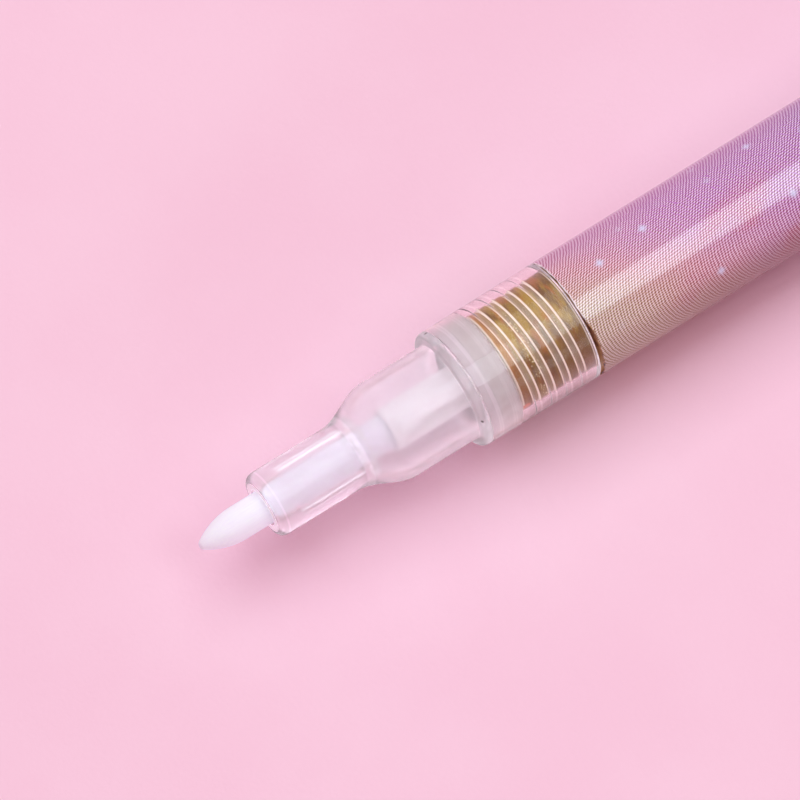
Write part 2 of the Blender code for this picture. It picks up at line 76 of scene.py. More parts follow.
# %% [markdown]
# A turned piece is easiest to describe by stations, the distances along its axis. On this pen, station 0 is
# the tip of the nib. The CAD pieces have 32 flat sides, with a flat on the table. A rounder piece of the
# same radius would bulge past those flats, so every radius is brought in to the middle of a flat.

# %% Measure along the pen
MM = 0.001
CAD_SIDES = 32
INSIDE_FLATS = math.cos(math.pi / CAD_SIDES)
FACING = math.radians(-21)           # from the top to the line along the pen that faces the camera
NIB_TIP = cad_low.x
AXIS_HEIGHT = (cad_low.z + cad_high.z) / 2


def reach(node):
    """First and last station of a CAD node, in mm."""
    low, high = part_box(node)
    return (low.x - NIB_TIP) / MM, (high.x - NIB_TIP) / MM


def girth(node):
    """Largest radius of a CAD node, in mm."""
    low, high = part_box(node)
    return (high.y - low.y) / 2 / MM / INSIDE_FLATS


NOSE_FACE, COLLAR_END = reach("front_section")
NECK_FACE, BARREL_END = reach("barrel")
LABEL_START, LABEL_END = reach("label")
BARREL_RADIUS = girth("label")
print(f"nose {NOSE_FACE:.2f}, collar end {COLLAR_END:.2f}, label {LABEL_START:.2f} to {LABEL_END:.2f} mm")

# %% [markdown]
# The camera is set up before anything else, so that each piece can be judged as it is made. The photograph
# looks steeply down at the pen with a long lens. Two things fix such a camera: the direction that it looks
# in, and one known point, the nib's tip, with the picture's scale. A lens this long hardly shrinks what is
# further off, as in the photograph.

# %% Place the camera
PICTURE_SIZE = 800
TIP_IN_PICTURE = (199.5, 547.0)
PIXELS_PER_MM = 12.12
CAMERA_AZIMUTH = math.radians(-34.4)
CAMERA_ELEVATION = math.radians(65.0)
CAMERA_DISTANCE = 1.0
SENSOR_WIDTH = 36.0
NEAREST_SEEN = 0.01                  # in metres from the camera


def heading(azimuth, elevation):
    """Unit vector from the pen towards a place seen at this azimuth and elevation."""
    level = math.cos(elevation)
    return Vector((math.sin(azimuth) * level, -math.cos(azimuth) * level, math.sin(elevation)))


camera_back = heading(CAMERA_AZIMUTH, CAMERA_ELEVATION)
camera_right = Vector((math.cos(CAMERA_AZIMUTH), math.sin(CAMERA_AZIMUTH), 0.0))
camera_up = camera_back.cross(camera_right)
nib_point = Vector((NIB_TIP, 0.0, AXIS_HEIGHT))
step_right = (PICTURE_SIZE / 2 - TIP_IN_PICTURE[0]) / PIXELS_PER_MM * MM
step_up = (TIP_IN_PICTURE[1] - PICTURE_SIZE / 2) / PIXELS_PER_MM * MM
picture_centre = nib_point + camera_right * step_right + camera_up * step_up
picture_width = PICTURE_SIZE / PIXELS_PER_MM * MM

lens = bpy.data.cameras.new("camera")
lens.sensor_width = SENSOR_WIDTH
lens.lens = SENSOR_WIDTH * CAMERA_DISTANCE / picture_width
lens.clip_start = NEAREST_SEEN
camera = bpy.data.objects.new("camera", lens)
basis = Matrix((camera_right, camera_up, camera_back)).transposed().to_4x4()
camera.matrix_world = Matrix.Translation(picture_centre + camera_back * CAMERA_DISTANCE) @ basis
bpy.context.scene.collection.objects.link(camera)
bpy.context.scene.camera = camera
print(f"the picture takes in {picture_width / MM:.1f} mm, with a {lens.lens:.0f} mm lens")

# %% [markdown]
# Every finish on this pen is a small tree of shader nodes. Wiring nodes one by one hides what a material
# does, so the maths in a tree is written as sums in Python. `Wire` is one output socket, and each step of a
# sum of wires adds the Math node that works it out.

# %% Write shader maths as sums
class Wire:
    """An output socket in a tree of nodes, which adds up with numbers and other wires."""

    def __init__(self, tree, socket):
        self.tree = tree
        self.socket = socket

    def maths(self, operation, *values):
        """One Math node, worked on this wire and up to two more values."""
        return self.tree.node("Math", {"operation": operation}, dict(enumerate((self, *values))))

    def out(self, name):
        """Another output of the same node."""
        return Wire(self.tree, self.socket.node.outputs[name])

    def __add__(self, other):
        return self.maths("ADD", other)

    def __sub__(self, other):
        return self.maths("SUBTRACT", other)

    def __rsub__(self, other):
        return self.tree.node("Math", {"operation": "SUBTRACT"}, {0: other, 1: self})

    def __mul__(self, other):
        return self.maths("MULTIPLY", other)

    def __truediv__(self, other):
        return self.maths("DIVIDE", other)

    __radd__ = __add__
    __rmul__ = __mul__

    def at_least(self, other):
        return self.maths("MAXIMUM", other)

    def at_most(self, other):
        return self.maths("MINIMUM", other)

    def size(self):
        return self.maths("ABSOLUTE")

    def power(self, exponent):
        return self.maths("POWER", exponent)

    def wave(self):
        """0 to 1 and back, once for each whole number that this wire grows by."""
        return (self * (2 * math.pi)).maths("SINE") * 0.5 + 0.5

    def rise(self, start, end):
        """0 below start, 1 above end, and smooth between them."""
        settings = {"interpolation_type": "SMOOTHSTEP"}
        return self.tree.node("MapRange", settings, {"Value": self, "From Min": start, "From Max": end})


print("sums of wires are ready")

# %% [markdown]
# Every other node comes from one method, `Tree.node`. It takes the node's type, its settings and what its
# sockets get, and the settings go first, because some of them decide which sockets a node has. Colours are
# mixed by a Mix node, because a Math node would turn them grey.

# %% Add any node to a tree
def set_stops(ramp, stops):
    """Give a colour ramp its stops: a list of (position, colour)."""
    while len(ramp.elements) < len(stops):
        ramp.elements.new(1.0)
    for element, (position, value) in zip(ramp.elements, stops):
        element.position = position
        element.color = value


class Tree:
    """A tree of shader nodes, with a method that adds any node to it."""

    def __init__(self, node_tree):
        self.node_tree = node_tree

    def give(self, node, socket, value):
        """Link a wire to a socket, or set the socket's own value."""
        if isinstance(value, Wire):
            self.node_tree.links.new(value.socket, node.inputs[socket])
        else:
            node.inputs[socket].default_value = value

    def node(self, kind, settings=None, sockets=None, output=0):
        """Add one shader node and return an output: settings first, then what its sockets get."""
        node = self.node_tree.nodes.new("ShaderNode" + kind)
        for name, value in (settings or {}).items():
            if name == "stops":
                set_stops(node.color_ramp, value)
            else:
                setattr(node, name, value)
        for socket, value in (sockets or {}).items():
            self.give(node, socket, value)
        return Wire(self, node.outputs[output])

    def blend(self, share, first, second, mode="MIX"):
        """A colour between two, through a Mix node."""
        settings = {"data_type": "RGBA", "blend_type": mode}
        return self.node("Mix", settings, {0: share, 6: first, 7: second}, output=2)


print("trees of nodes are ready")

# %% [markdown]
# A finish is a material with one Principled shader. Fibre, plastic, film and paint all vary over their
# surface, and a few helpers say how: where a point is on the piece, cloudy noise, a texture drawn out along
# the pen, a small round spot, and relief. Colours are given as they are mixed on a screen, because that is
# how they are judged against a photograph, and are then turned into the linear light that shaders use.

# %% Describe a finish
SPOT_CORE = 0.6                      # share of a spot's radius that it fills evenly
BLACK = (0.0, 0.0, 0.0, 1.0)
WHITE = (1.0, 1.0, 1.0, 1.0)


class Finish(Tree):
    """A material with one Principled shader."""

    def __init__(self, name, **plain):
        self.material = bpy.data.materials.new(name)
        self.material.use_nodes = True
        super().__init__(self.material.node_tree)
        self.shader = self.node_tree.nodes["Principled BSDF"]
        self.wear(**plain)

    def place(self):
        """The point on the piece, as along, across and up from its origin, in mm."""
        point = self.node("TexCoord", output="Object")
        return self.node("VectorMath", {"operation": "SCALE"}, {0: point, "Scale": 1 / MM})

    def parts(self, vector):
        """A vector's three parts: the wire itself is the first, and Y and Z are its other outputs."""
        return self.node("SeparateXYZ", None, {0: vector})

    def angle(self, parts):
        """The angle about the pen's axis, from the top, in radians."""
        return self.node("Math", {"operation": "ARCTAN2"}, {0: parts.out("Y"), 1: parts.out("Z")})

    def lean(self, parts, radius):
        """-1 at the pen's near edge as the camera sees it, 0 in the middle and 1 at its far edge."""
        return (parts.out("Y") * math.cos(FACING) - parts.out("Z") * math.sin(FACING)) / radius

    def noise(self, point, scale, detail=2.0, roughness=0.5):
        """Cloudy values about 0.5; scale is patches per mm."""
        sockets = {"Vector": point, "Scale": scale, "Detail": detail, "Roughness": roughness}
        return self.node("TexNoise", None, sockets)

    def stretch(self, point, along, across, up):
        """The same point with each direction multiplied, to draw a texture out."""
        factors = {0: point, 1: (along, across, up)}
        return self.node("VectorMath", {"operation": "MULTIPLY"}, factors)

    def bump(self, height, distance):
        """Surface relief; distance is the height of 1, in mm."""
        return self.node("Bump", None, {"Height": height, "Distance": distance * MM})

    def spot(self, point, station, side, radius, size):
        """1 in a small round spot; side is its angle from the line that faces the camera."""
        angle = math.radians(side) + FACING
        centre = (station, radius * math.sin(angle), radius * math.cos(angle))
        gap = self.node("VectorMath", {"operation": "DISTANCE"}, {0: point, 1: centre}, output=1)
        return 1 - gap.rise(size * SPOT_CORE, size)

    def wear(self, **wires):
        """Give the shader's sockets their values or wires."""
        for socket, wire in wires.items():
            self.give(self.shader, socket.replace("_", " "), wire)
        return self.material

    def pass_light(self, share):
        """Let a share of the lamps' light straight through each face, as milky plastic does."""
        shadow = self.node("LightPath").out("Is Shadow Ray")
        clear = self.node("BsdfTransparent")
        faces = {0: shadow * share, 1: Wire(self, self.shader.outputs[0]), 2: clear}
        output = self.node_tree.nodes["Material Output"]
        self.give(output, "Surface", self.node("MixShader", None, faces))
        return self.material


def paint(red, green, blue):
    """A colour as it is mixed on screen, 0 to 255, turned into the linear light that shaders use."""
    def linear(level):
        share = level / 255
        return share / 12.92 if share <= 0.04045 else ((share + 0.055) / 1.055) ** 2.4
    return (linear(red), linear(green), linear(blue), 1.0)


print(f"a middle grey of 128 is {paint(128, 128, 128)[0]:.3f} in linear light")

# %% [markdown]
# The pen lies on a sheet of pale pink card. A plane with one flat colour would look like a cut-out, since
# real card is faintly cloudy and has a tooth that breaks up the light. The clouds here are very weak, and
# the tooth is a bump too fine to see as grains.

# %% Lay the floor
FLOOR_SIZE = 3.0                     # in metres
FLOOR_GAP = 0.02                     # the card is this far below the pen, in mm
CARD_PINK = paint(253, 214, 230)
CARD_ROSE = paint(251, 209, 226)


def card_finish():
    card = Finish("pink_card", Roughness=0.75)
    point = card.place()
    clouds = card.noise(point, 0.045, detail=4.0)
    tooth = card.noise(point, 2.2, detail=3.0)
    colour = card.blend(clouds.rise(0.35, 0.7), CARD_ROSE, CARD_PINK)
    return card.wear(Base_Color=colour, Normal=card.bump(tooth, 0.03))


floor_mesh = bpy.data.meshes.new("floor")
edge = FLOOR_SIZE / 2
corners = [(-edge, -edge, 0), (edge, -edge, 0), (edge, edge, 0), (-edge, edge, 0)]
floor_mesh.from_pydata(corners, [], [(0, 1, 2, 3)])
floor_mesh.materials.append(card_finish())
floor = bpy.data.objects.new("floor", floor_mesh)
floor.location.z = cad_low.z - FLOOR_GAP * MM
bpy.context.scene.collection.objects.link(floor)
print(f"floor {FLOOR_SIZE} m square")

# %% [markdown]
# Three lamps light the pen. A softbox over it draws one sharp-edged white band along it, so its place
# follows from that band: on a rod seen from the side, the light is the camera's mirror image. A broad far
# lamp puts the soft shadow on the near side, and a low near lamp sets how dark that shadow gets. All three
# are as cool as a flash. A lamp could be made bright enough by trial, but a lamp's brightness is its power
# over its area, so each is given as the brightness that a white card would show.

# %% Light the pen
LIT_STATION = 35.0                   # the lamps are turned to this place on the pen
LIGHT_TARGET = Vector((NIB_TIP + LIT_STATION * MM, 0.0, AXIS_HEIGHT))
SOFTBOX_DISTANCE = 0.6
SOFTBOX_SIZE = (0.20, 0.43)
SOFTBOX_BRIGHTNESS = 3.9
BROAD_DISTANCE = 0.9                 # of the far lamp and the near lamp
FAR_SIZE = (1.2, 0.80)
FAR_TILT = math.radians(24)
FAR_BRIGHTNESS = 2.65
NEAR_SIZE = (1.2, 0.5)
NEAR_TILT = math.radians(-86)
NEAR_BRIGHTNESS = 2.0
FLASH_COLOUR = (0.80, 0.955, 1.0)


def add_lamp(name, direction, distance, size, brightness):
    """A rectangular lamp that faces the pen, its width along the pen."""
    lamp = bpy.data.lights.new(name, "AREA")
    lamp.shape = "RECTANGLE"
    lamp.color = FLASH_COLOUR
    lamp.size, lamp.size_y = size
    lamp.energy = brightness * math.pi * size[0] * size[1]
    holder = bpy.data.objects.new(name, lamp)
    back = direction.normalized()
    along = (Vector((1, 0, 0)) - back * back.x).normalized()
    turn = Matrix((along, back.cross(along), back)).transposed().to_4x4()
    holder.matrix_world = Matrix.Translation(LIGHT_TARGET + back * distance) @ turn
    bpy.context.scene.collection.objects.link(holder)
    return holder


def tilted(tilt):
    """Unit vector straight across the pen, at this tilt from the vertical towards its far side."""
    return Vector((0.0, math.sin(tilt), math.cos(tilt)))


mirrored = Vector((-camera_back.x, camera_back.y, camera_back.z))
add_lamp("softbox", mirrored, SOFTBOX_DISTANCE, SOFTBOX_SIZE, SOFTBOX_BRIGHTNESS)
for name, tilt, size, brightness in (
    ("far_light", FAR_TILT, FAR_SIZE, FAR_BRIGHTNESS),
    ("near_light", NEAR_TILT, NEAR_SIZE, NEAR_BRIGHTNESS),
):
    add_lamp(name, tilted(tilt), BROAD_DISTANCE, size, brightness).visible_glossy = False
print("a softbox and two broad lamps")

# %% [markdown]
# The card throws rosy light back at the pen from all round. A world of that colour would do, but then the
# clear plastic would look deep red, because it shows the world itself. So the world has two colours: the
# camera, reflections and clear plastic see a pale pink surround, and all else is lit by the rosy fill.

# %% Surround the pen
FILL_COLOUR = (1.0, 0.06, 0.10, 1.0)
FILL_BRIGHTNESS = 0.25
SURROUND_COLOUR = (0.95, 0.68, 0.80, 1.0)
SURROUND_BRIGHTNESS = 1.0

world = bpy.data.worlds.new("world")
world.use_nodes = True
sky = Tree(world.node_tree)
ray = sky.node("LightPath")
seen = ray.at_least(ray.out("Is Glossy Ray")).at_least(ray.out("Is Transmission Ray"))
seen = seen * (1 - ray.out("Diffuse Depth").at_most(1))
background = world.node_tree.nodes["Background"]
sky.give(background, "Color", sky.blend(seen, FILL_COLOUR, SURROUND_COLOUR))
sky.give(background, "Strength", seen * (SURROUND_BRIGHTNESS - FILL_BRIGHTNESS) + FILL_BRIGHTNESS)
bpy.context.scene.world = world
bpy.context.scene.view_settings.view_transform = "Standard"
print(f"rosy fill {FILL_BRIGHTNESS}, pale surround {SURROUND_BRIGHTNESS}")

# %% [markdown]
# Almost every piece of the pen was turned or moulded round one axis. A lathe modifier could do it, but a
# grid built ring by ring also takes a rule that moves each point, which threads and flutes need. Corners
# are given with the radius of their rounding, because no moulded edge is sharp and the small round is what
# catches the light.

# %% Turn outlines into pieces
SIDES = 160
ROUNDING_STEPS = 5
SHARP_EDGE = math.radians(50)
SAME_RADIUS = 0.001                  # a point this near to a surface's radius, in mm, lies on it


def rounded(corners):
    """Points of an outline from (station, radius, rounding) corners."""
    points = []
    for index, (station, radius, rounding) in enumerate(corners):
        corner = Vector((station, radius))
        if not rounding:
            points.append((station, radius))
            continue
        before = Vector(corners[index - 1][:2]) - corner
        after = Vector(corners[(index + 1) % len(corners)][:2]) - corner
        start = corner + before.normalized() * min(rounding, before.length / 2)
        end = corner + after.normalized() * min(rounding, after.length / 2)
        for step in range(ROUNDING_STEPS + 1):
            share = step / ROUNDING_STEPS
            bend = start.lerp(corner, share).lerp(corner.lerp(end, share), share)
            points.append((bend.x, bend.y))
    return points


def turned(name, outline, rule=None, closed=True):
    """Turn (station, radius) points about the axis; a rule may move each point's station and radius."""
    verts = []
    rings = []
    for station, radius in outline:
        if radius <= 0.0:
            rings.append([len(verts)] * SIDES)
            verts.append((station * MM, 0.0, 0.0))
            continue
        rings.append(list(range(len(verts), len(verts) + SIDES)))
        for side in range(SIDES):
            angle = 2 * math.pi * side / SIDES
            s, r = rule(station, radius, angle) if rule else (station, radius)
            r *= INSIDE_FLATS
            verts.append((s * MM, r * MM * math.sin(angle), r * MM * math.cos(angle)))
    faces = []
    for index in range(0 if closed else 1, len(rings)):
        first, second = rings[index - 1], rings[index]
        for side in range(SIDES):
            other = (side + 1) % SIDES
            face = (first[side], second[side], second[other], first[other])
            corners = tuple(dict.fromkeys(face))
            if len(corners) > 2:
                faces.append(corners)
    mesh = bpy.data.meshes.new(name)
    mesh.from_pydata(verts, [], faces)
    mesh.shade_smooth()
    mesh.set_sharp_from_angle(angle=SHARP_EDGE)
    piece = bpy.data.objects.new(name, mesh)
    piece.location = nib_point
    bpy.context.scene.collection.objects.link(piece)
    return piece


def lies_on(surface, radius):
    """Whether a point of this radius is on the surface that a rule moves."""
    return abs(radius - surface) < SAME_RADIUS


def dress(piece, body, node, material):
    """Let a piece ride on its body, stand for its CAD node and take its finish."""
    piece.data.materials.append(material)
    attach(piece, body)
    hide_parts(node)
    print(f"{piece.name}: {len(piece.data.polygons)} faces")


print(f"turned pieces have {SIDES} sides")

# %% [markdown]
# The nib is pressed polyester fibre, cut to a bullet. A cone would look like a pencil, so the outline is an
# ogive: an arc that leaves the rod without a corner and meets a small round tip. Fibres run along the nib.
# They show only as very faint streaks, because the felt scatters light so well that it looks evenly white.
# The fibre has a faint painted blue glow, and inside the nose the nib is painted a little darker, as shade.

# %% Make the nib
NIB_RADIUS = girth("nib")
NIB_TAPER = 3.9
NIB_TIP_RADIUS = 0.5
NIB_REAR = reach("nib")[1]
OGIVE_STEPS = 28
TIP_STEPS = OGIVE_STEPS // 3
NOSE_SHADE_START = NOSE_FACE + 0.2
NOSE_SHADE_FULL = NOSE_FACE + 1.4


def nib_outline():
    """Round tip, ogive and plain rod."""
    taper = NIB_TAPER - NIB_TIP_RADIUS
    slimming = NIB_RADIUS - NIB_TIP_RADIUS
    sweep = (taper ** 2 + NIB_RADIUS ** 2 - NIB_TIP_RADIUS ** 2) / (2 * slimming)
    centre = NIB_RADIUS - sweep
    meeting = math.atan2(-centre, -taper)
    points = [(0.0, 0.0)]
    for step in range(1, TIP_STEPS):
        angle = math.pi + (meeting - math.pi) * step / TIP_STEPS
        points.append((NIB_TIP_RADIUS * (1 + math.cos(angle)), NIB_TIP_RADIUS * math.sin(angle)))
    for step in range(OGIVE_STEPS + 1):
        angle = meeting + (math.pi / 2 - meeting) * step / OGIVE_STEPS
        points.append((NIB_TAPER + sweep * math.cos(angle), centre + sweep * math.sin(angle)))
    return points + [(NIB_REAR, NIB_RADIUS), (NIB_REAR, 0.0)]


def fibre_finish():
    fibre = Finish("pressed_fibre", Roughness=0.9, Specular_IOR_Level=0.2)
    fibre.wear(Subsurface_Weight=1.0, Subsurface_Scale=0.002, Subsurface_Radius=(1.0, 0.9, 1.0))
    point = fibre.place()
    strands = fibre.noise(fibre.stretch(point, 0.5, 9.0, 9.0), 1.0, detail=3.0)
    felt = fibre.noise(point, 7.0, detail=2.0)
    colour = fibre.blend(strands.rise(0.2, 0.8), paint(246, 244, 255), paint(250, 250, 255))
    # Painted shade: the nib's colour is a little darker inside the nose.
    nose_shade = fibre.parts(point).rise(NOSE_SHADE_START, NOSE_SHADE_FULL)
    colour = fibre.blend(nose_shade, colour, paint(230, 222, 230))
    # Painted glow: a faint blue emission on the fibre, weaker inside the nose.
    painted_blue_glow = fibre.blend(nose_shade, (0.15, 0.45, 1.0, 1.0), (0.15, 0.35, 0.4, 1.0))
    fibre.wear(Emission_Color=painted_blue_glow, Emission_Strength=0.11)
    height = strands * 0.3 + felt * 0.7
    fibre.wear(Base_Color=colour, Normal=fibre.bump(height, 0.012))
    return fibre.pass_light(0.5)


nib = turned("nib_felt", nib_outline(), closed=False)
dress(nib, "nib_assembly", "nib", fibre_finish())

# %% [markdown]
# The plunger, the valve and the cage are moulded in undyed polypropylene. It looks milky, because light goes
# some way into it and comes out somewhere else. Plain white would look like chalk, so this finish scatters
# light below its surface, and it can have a faint painted glow. The pen has it in a few tones, and a moulded
# rim can be painted paler, as a highlight where light gathers.

# %% Mix the undyed plastic
RIM_REACH = (0.03, 0.15)             # a pale rim is full up to the first distance and gone at the second


def natural_finish(name, dark, light, rims=(), glow=0.0):
    """Undyed plastic between two tones, with rims painted paler as highlights and a painted glow."""
    plastic = Finish(name, Roughness=0.4, Specular_IOR_Level=0.4)
    plastic.wear(Subsurface_Weight=0.7, Subsurface_Scale=0.0006, Subsurface_Radius=(1.0, 1.0, 1.0))
    # Painted glow: emission that makes the plastic look lit from inside.
    plastic.wear(Emission_Color=(1.0, 0.94, 1.0, 1.0), Emission_Strength=glow)
    point = plastic.place()
    flow = plastic.noise(plastic.stretch(point, 0.3, 1.0, 1.0), 0.9, detail=3.0)
    colour = plastic.blend(flow, dark, light)
    # Painted highlight: each listed rim is painted paler.
    for rim in rims:
        near = 1 - (plastic.parts(point) - rim).size().rise(*RIM_REACH)
        colour = plastic.blend(near * 0.5, colour, paint(246, 234, 234))
    return plastic.wear(Base_Color=colour, Normal=plastic.bump(flow, 0.007))


# This undyed plastic has a faint painted glow.
natural = natural_finish("natural_plastic", paint(232, 223, 224), paint(246, 238, 238), glow=0.03)
print("mixed", natural.name)

# %% [markdown]
# Behind the nib sits the plunger, a stem with a head that closes the valve. Four flutes run along it, so
# that paint can pass it on the way to the nib. Through the clear cone they show as soft light and dark
# bands, and they are turned so that a land faces the camera, with a flute above it and one below. Cutting
# them with a boolean works, but moving the points of the turned grid gives an even mesh with no stray faces.

# %% Make the plunger
PLUNGER_FACE, PLUNGER_END = reach("valve_plunger")
CUP_WALL = 0.45
STEM_RADIUS = NIB_RADIUS + CUP_WALL
NIB_FIT = 0.05
CUP_BOTTOM = NIB_REAR + NIB_FIT
FLUTE_START = CUP_BOTTOM + 0.4
FLUTE_END = 28.3
FLUTE_BRINK = 0.01                   # length of the step at either end of the flutes
FLUTE_COUNT = 4
FLUTE_RADIUS = 0.8
FLUTE_DEPTH = 0.75
FLUTE_TURN = math.radians(65)
FLUTE_STEPS = 24
HEAD_START = 28.37
HEAD_RADIUS = 2.65
HEAD_THICKNESS = 0.8
PILOT_RADIUS = 1.2


def flute_rule(station, radius, angle):
    """Draw the stem's surface in to the nearest flute's round floor."""
    if not (FLUTE_START <= station <= FLUTE_END and lies_on(STEM_RADIUS, radius)):
        return station, radius
    spacing = 2 * math.pi / FLUTE_COUNT
    offset = (math.pi - angle - FLUTE_TURN + spacing / 2) % spacing - spacing / 2
    centre = STEM_RADIUS + FLUTE_RADIUS - FLUTE_DEPTH
    inside = FLUTE_RADIUS ** 2 - (centre * math.sin(offset)) ** 2
    if inside > 0.0:
        radius = min(radius, centre * math.cos(offset) - math.sqrt(inside))
    return station, radius


def plunger_outline():
    """Cup for the nib, fluted stem, coned head and pilot."""
    head_edge = HEAD_START + HEAD_RADIUS - STEM_RADIUS
    head_end = head_edge + HEAD_THICKNESS
    front = rounded([
        (CUP_BOTTOM, NIB_RADIUS + NIB_FIT, 0),
        (PLUNGER_FACE, NIB_RADIUS + NIB_FIT, 0.1),
        (PLUNGER_FACE, STEM_RADIUS, 0.2),
    ])
    stem = [(FLUTE_START - FLUTE_BRINK, STEM_RADIUS)]
    for step in range(FLUTE_STEPS + 1):
        stem.append((FLUTE_START + (FLUTE_END - FLUTE_START) * step / FLUTE_STEPS, STEM_RADIUS))
    stem.append((FLUTE_END + FLUTE_BRINK, STEM_RADIUS))
    rear = rounded([
        (head_edge, HEAD_RADIUS, 0.1),
        (head_end, HEAD_RADIUS, 0.1),
        (head_end, PILOT_RADIUS, 0),
        (PLUNGER_END, PILOT_RADIUS, 0.3),
    ])
    return [(CUP_BOTTOM, 0.0)] + front + stem + [(HEAD_START, STEM_RADIUS)] + rear + [(PLUNGER_END, 0.0)]


plunger = turned("fluted_plunger", plunger_outline(), flute_rule, closed=False)
dress(plunger, "nib_assembly", "valve_plunger", natural)

# %% [markdown]
# The front section screws on the barrel with a single helical rib inside its collar. A coiled tube could be
# joined to the wall, but clear plastic only refracts well when rib and wall are one closed surface. So the
# thread is a height that depends on station and angle together, and a rule raises the wall by it.

# %% Describe the thread
THREAD_PITCH = 1.53
THREAD_FIRST = 30.22                 # station of the first turn on the side that faces the camera
THREAD_TURNS = (-0.42, 3.42)
THREAD_FADE = 0.12                   # part of a turn over which the rib rises from nothing
THREAD_STEP = 0.03
RIB_HEIGHT = 0.03
RIB_CREST = 0.20                     # half the rib's width at its crest
RIB_ROOT = 0.34                      # and at its root


def smooth(share):
    """0 to 1 with level ends."""
    share = min(max(share, 0.0), 1.0)
    return share * share * (3 - 2 * share)


def thread(station, angle, spare=0.0):
    """How much of the rib's height there is at a station and angle; spare widens it for the groove."""
    signed = (angle + math.pi) % (2 * math.pi) - math.pi
    turns = (station - THREAD_FIRST) / THREAD_PITCH + (signed - FACING) / (2 * math.pi)
    nearest = round(turns)
    progress = nearest - (signed - FACING) / (2 * math.pi)
    distance = abs(turns - nearest) * THREAD_PITCH
    flank_highlight = 1 - smooth((distance - RIB_CREST - spare) / (RIB_ROOT - RIB_CREST))
    first, last = THREAD_TURNS
    ends = smooth((progress - first) / THREAD_FADE) * smooth((last - progress) / THREAD_FADE)
    return flank_highlight * ends


print(f"the rib makes {THREAD_TURNS[1] - THREAD_TURNS[0]:.1f} turns of {THREAD_PITCH} mm")

# %% [markdown]
# The front section is one moulding: nose, S-shaped cone, cap seat, flange and threaded collar. A thin skin
# would do for a solid colour. Light bends at both the outer and the inner face of a clear wall, though, so
# the outline goes round the real wall, with the relief in the nose's bore and the vents that are sunk in it.

# %% Outline the front section
COLLAR_BORE = 4.65
THREADED_BORE = (28.6, COLLAR_END - 0.42)    # where the bore has rings close enough for the rib
SEAL_FACE = 26.0
CAVITY_FACE = 16.3
CONE_START = 14.0
SEAT_START = 18.9
FLANGE_FACE = 25.0
NOSE_RADIUS = 2.975
SEAT_RADIUS = 4.525
FRONT_WALL = 0.78
CONE_LAG = 0.39                      # the cone's inner face follows its outer face this far behind
CONE_STEPS = 18
LIP_RADIUS = 1.56
LIP_CHAMFER = 0.15
RELIEF_RADIUS = 1.78
RELIEF_START = 8.6
RELIEF_END = 15.4
RELIEF_SLOPE = 0.14
VENT_DEPTH = 0.14
VENT_FLAT = 1.5                      # half a vent's flat floor, in degrees
VENT_FLANK = 3                       # and each of its flanks
VENT_ANGLES = [math.radians(side) + FACING for side in (70, 110, 250, 290)]


def between(start, end, step):
    """Even stations from one to another, about a step apart."""
    count = max(1, round(abs(end - start) / step))
    return [start + (end - start) * index / count for index in range(count + 1)]


def front_rule(station, radius, angle):
    """Raise the rib out of the collar's bore, and sink four vents in the nose's bore."""
    if lies_on(COLLAR_BORE, radius):
        radius -= RIB_HEIGHT * thread(station, angle)
    if lies_on(RELIEF_RADIUS, radius):
        nearest = max(math.cos(angle - vent) for vent in VENT_ANGLES)
        away = math.degrees(math.acos(min(nearest, 1.0)))
        radius += VENT_DEPTH * (1 - smooth((away - VENT_FLAT) / VENT_FLANK))
    return station, radius


def cone_radius(station):
    """Outer radius of the wall, which swells in an S from the nose to the seat."""
    share = (station - CONE_START) / (SEAT_START - CONE_START)
    return NOSE_RADIUS + (SEAT_RADIUS - NOSE_RADIUS) * smooth(share)


def front_outline():
    """Round the wall: nose, cone and shoulder outside, then bore, seal face, cavity and relief inside."""
    bore_start, bore_end = THREADED_BORE
    bore_radius = SEAT_RADIUS - FRONT_WALL
    nose = rounded([
        (RELIEF_START, LIP_RADIUS, 0.08),
        (NOSE_FACE + LIP_CHAMFER, LIP_RADIUS, 0),
        (NOSE_FACE, LIP_RADIUS + LIP_CHAMFER, 0),
        (NOSE_FACE, NOSE_RADIUS, 0.85),
        (CONE_START - 0.6, NOSE_RADIUS, 0),
    ])[1:]
    stations = between(CONE_START, SEAT_START, (SEAT_START - CONE_START) / CONE_STEPS)
    cone = [(s, cone_radius(s)) for s in stations]
    shoulder = rounded([
        (SEAT_START + 0.3, SEAT_RADIUS, 0),
        (FLANGE_FACE, SEAT_RADIUS, 0.12),
        (FLANGE_FACE, BARREL_RADIUS - 0.05, 0.7),
        (COLLAR_END, BARREL_RADIUS, 0.16),
        (COLLAR_END, COLLAR_BORE, 0.1),
        (bore_end + 0.02, COLLAR_BORE, 0),
    ])
    bore = [(s, COLLAR_BORE) for s in between(bore_end, bore_start, THREAD_STEP)]
    seal = rounded([
        (bore_start - 0.1, COLLAR_BORE, 0),
        (SEAL_FACE, COLLAR_BORE, 0.08),
        (SEAL_FACE, bore_radius, 0.1),
        (SEAT_START + CONE_LAG + 0.2, bore_radius, 0),
    ])
    stations = between(SEAT_START, CAVITY_FACE, (SEAT_START - CAVITY_FACE) / CONE_STEPS)
    inner = [(s + CONE_LAG, cone_radius(s) - FRONT_WALL) for s in stations]
    cavity_radius = cone_radius(CAVITY_FACE) - FRONT_WALL
    rear = rounded([
        (CAVITY_FACE + CONE_LAG, cavity_radius, 0),
        (CAVITY_FACE, cavity_radius - CONE_LAG, 0.12),
        (CAVITY_FACE, LIP_RADIUS, 0.1),
        (RELIEF_END, LIP_RADIUS, 0.08),
        (RELIEF_END - RELIEF_SLOPE, RELIEF_RADIUS, 0.05),
        (RELIEF_START + RELIEF_SLOPE, RELIEF_RADIUS, 0.05),
        (RELIEF_START, LIP_RADIUS, 0.05),
    ])[1:]
    return nose + cone + shoulder + bore + seal + inner + rear


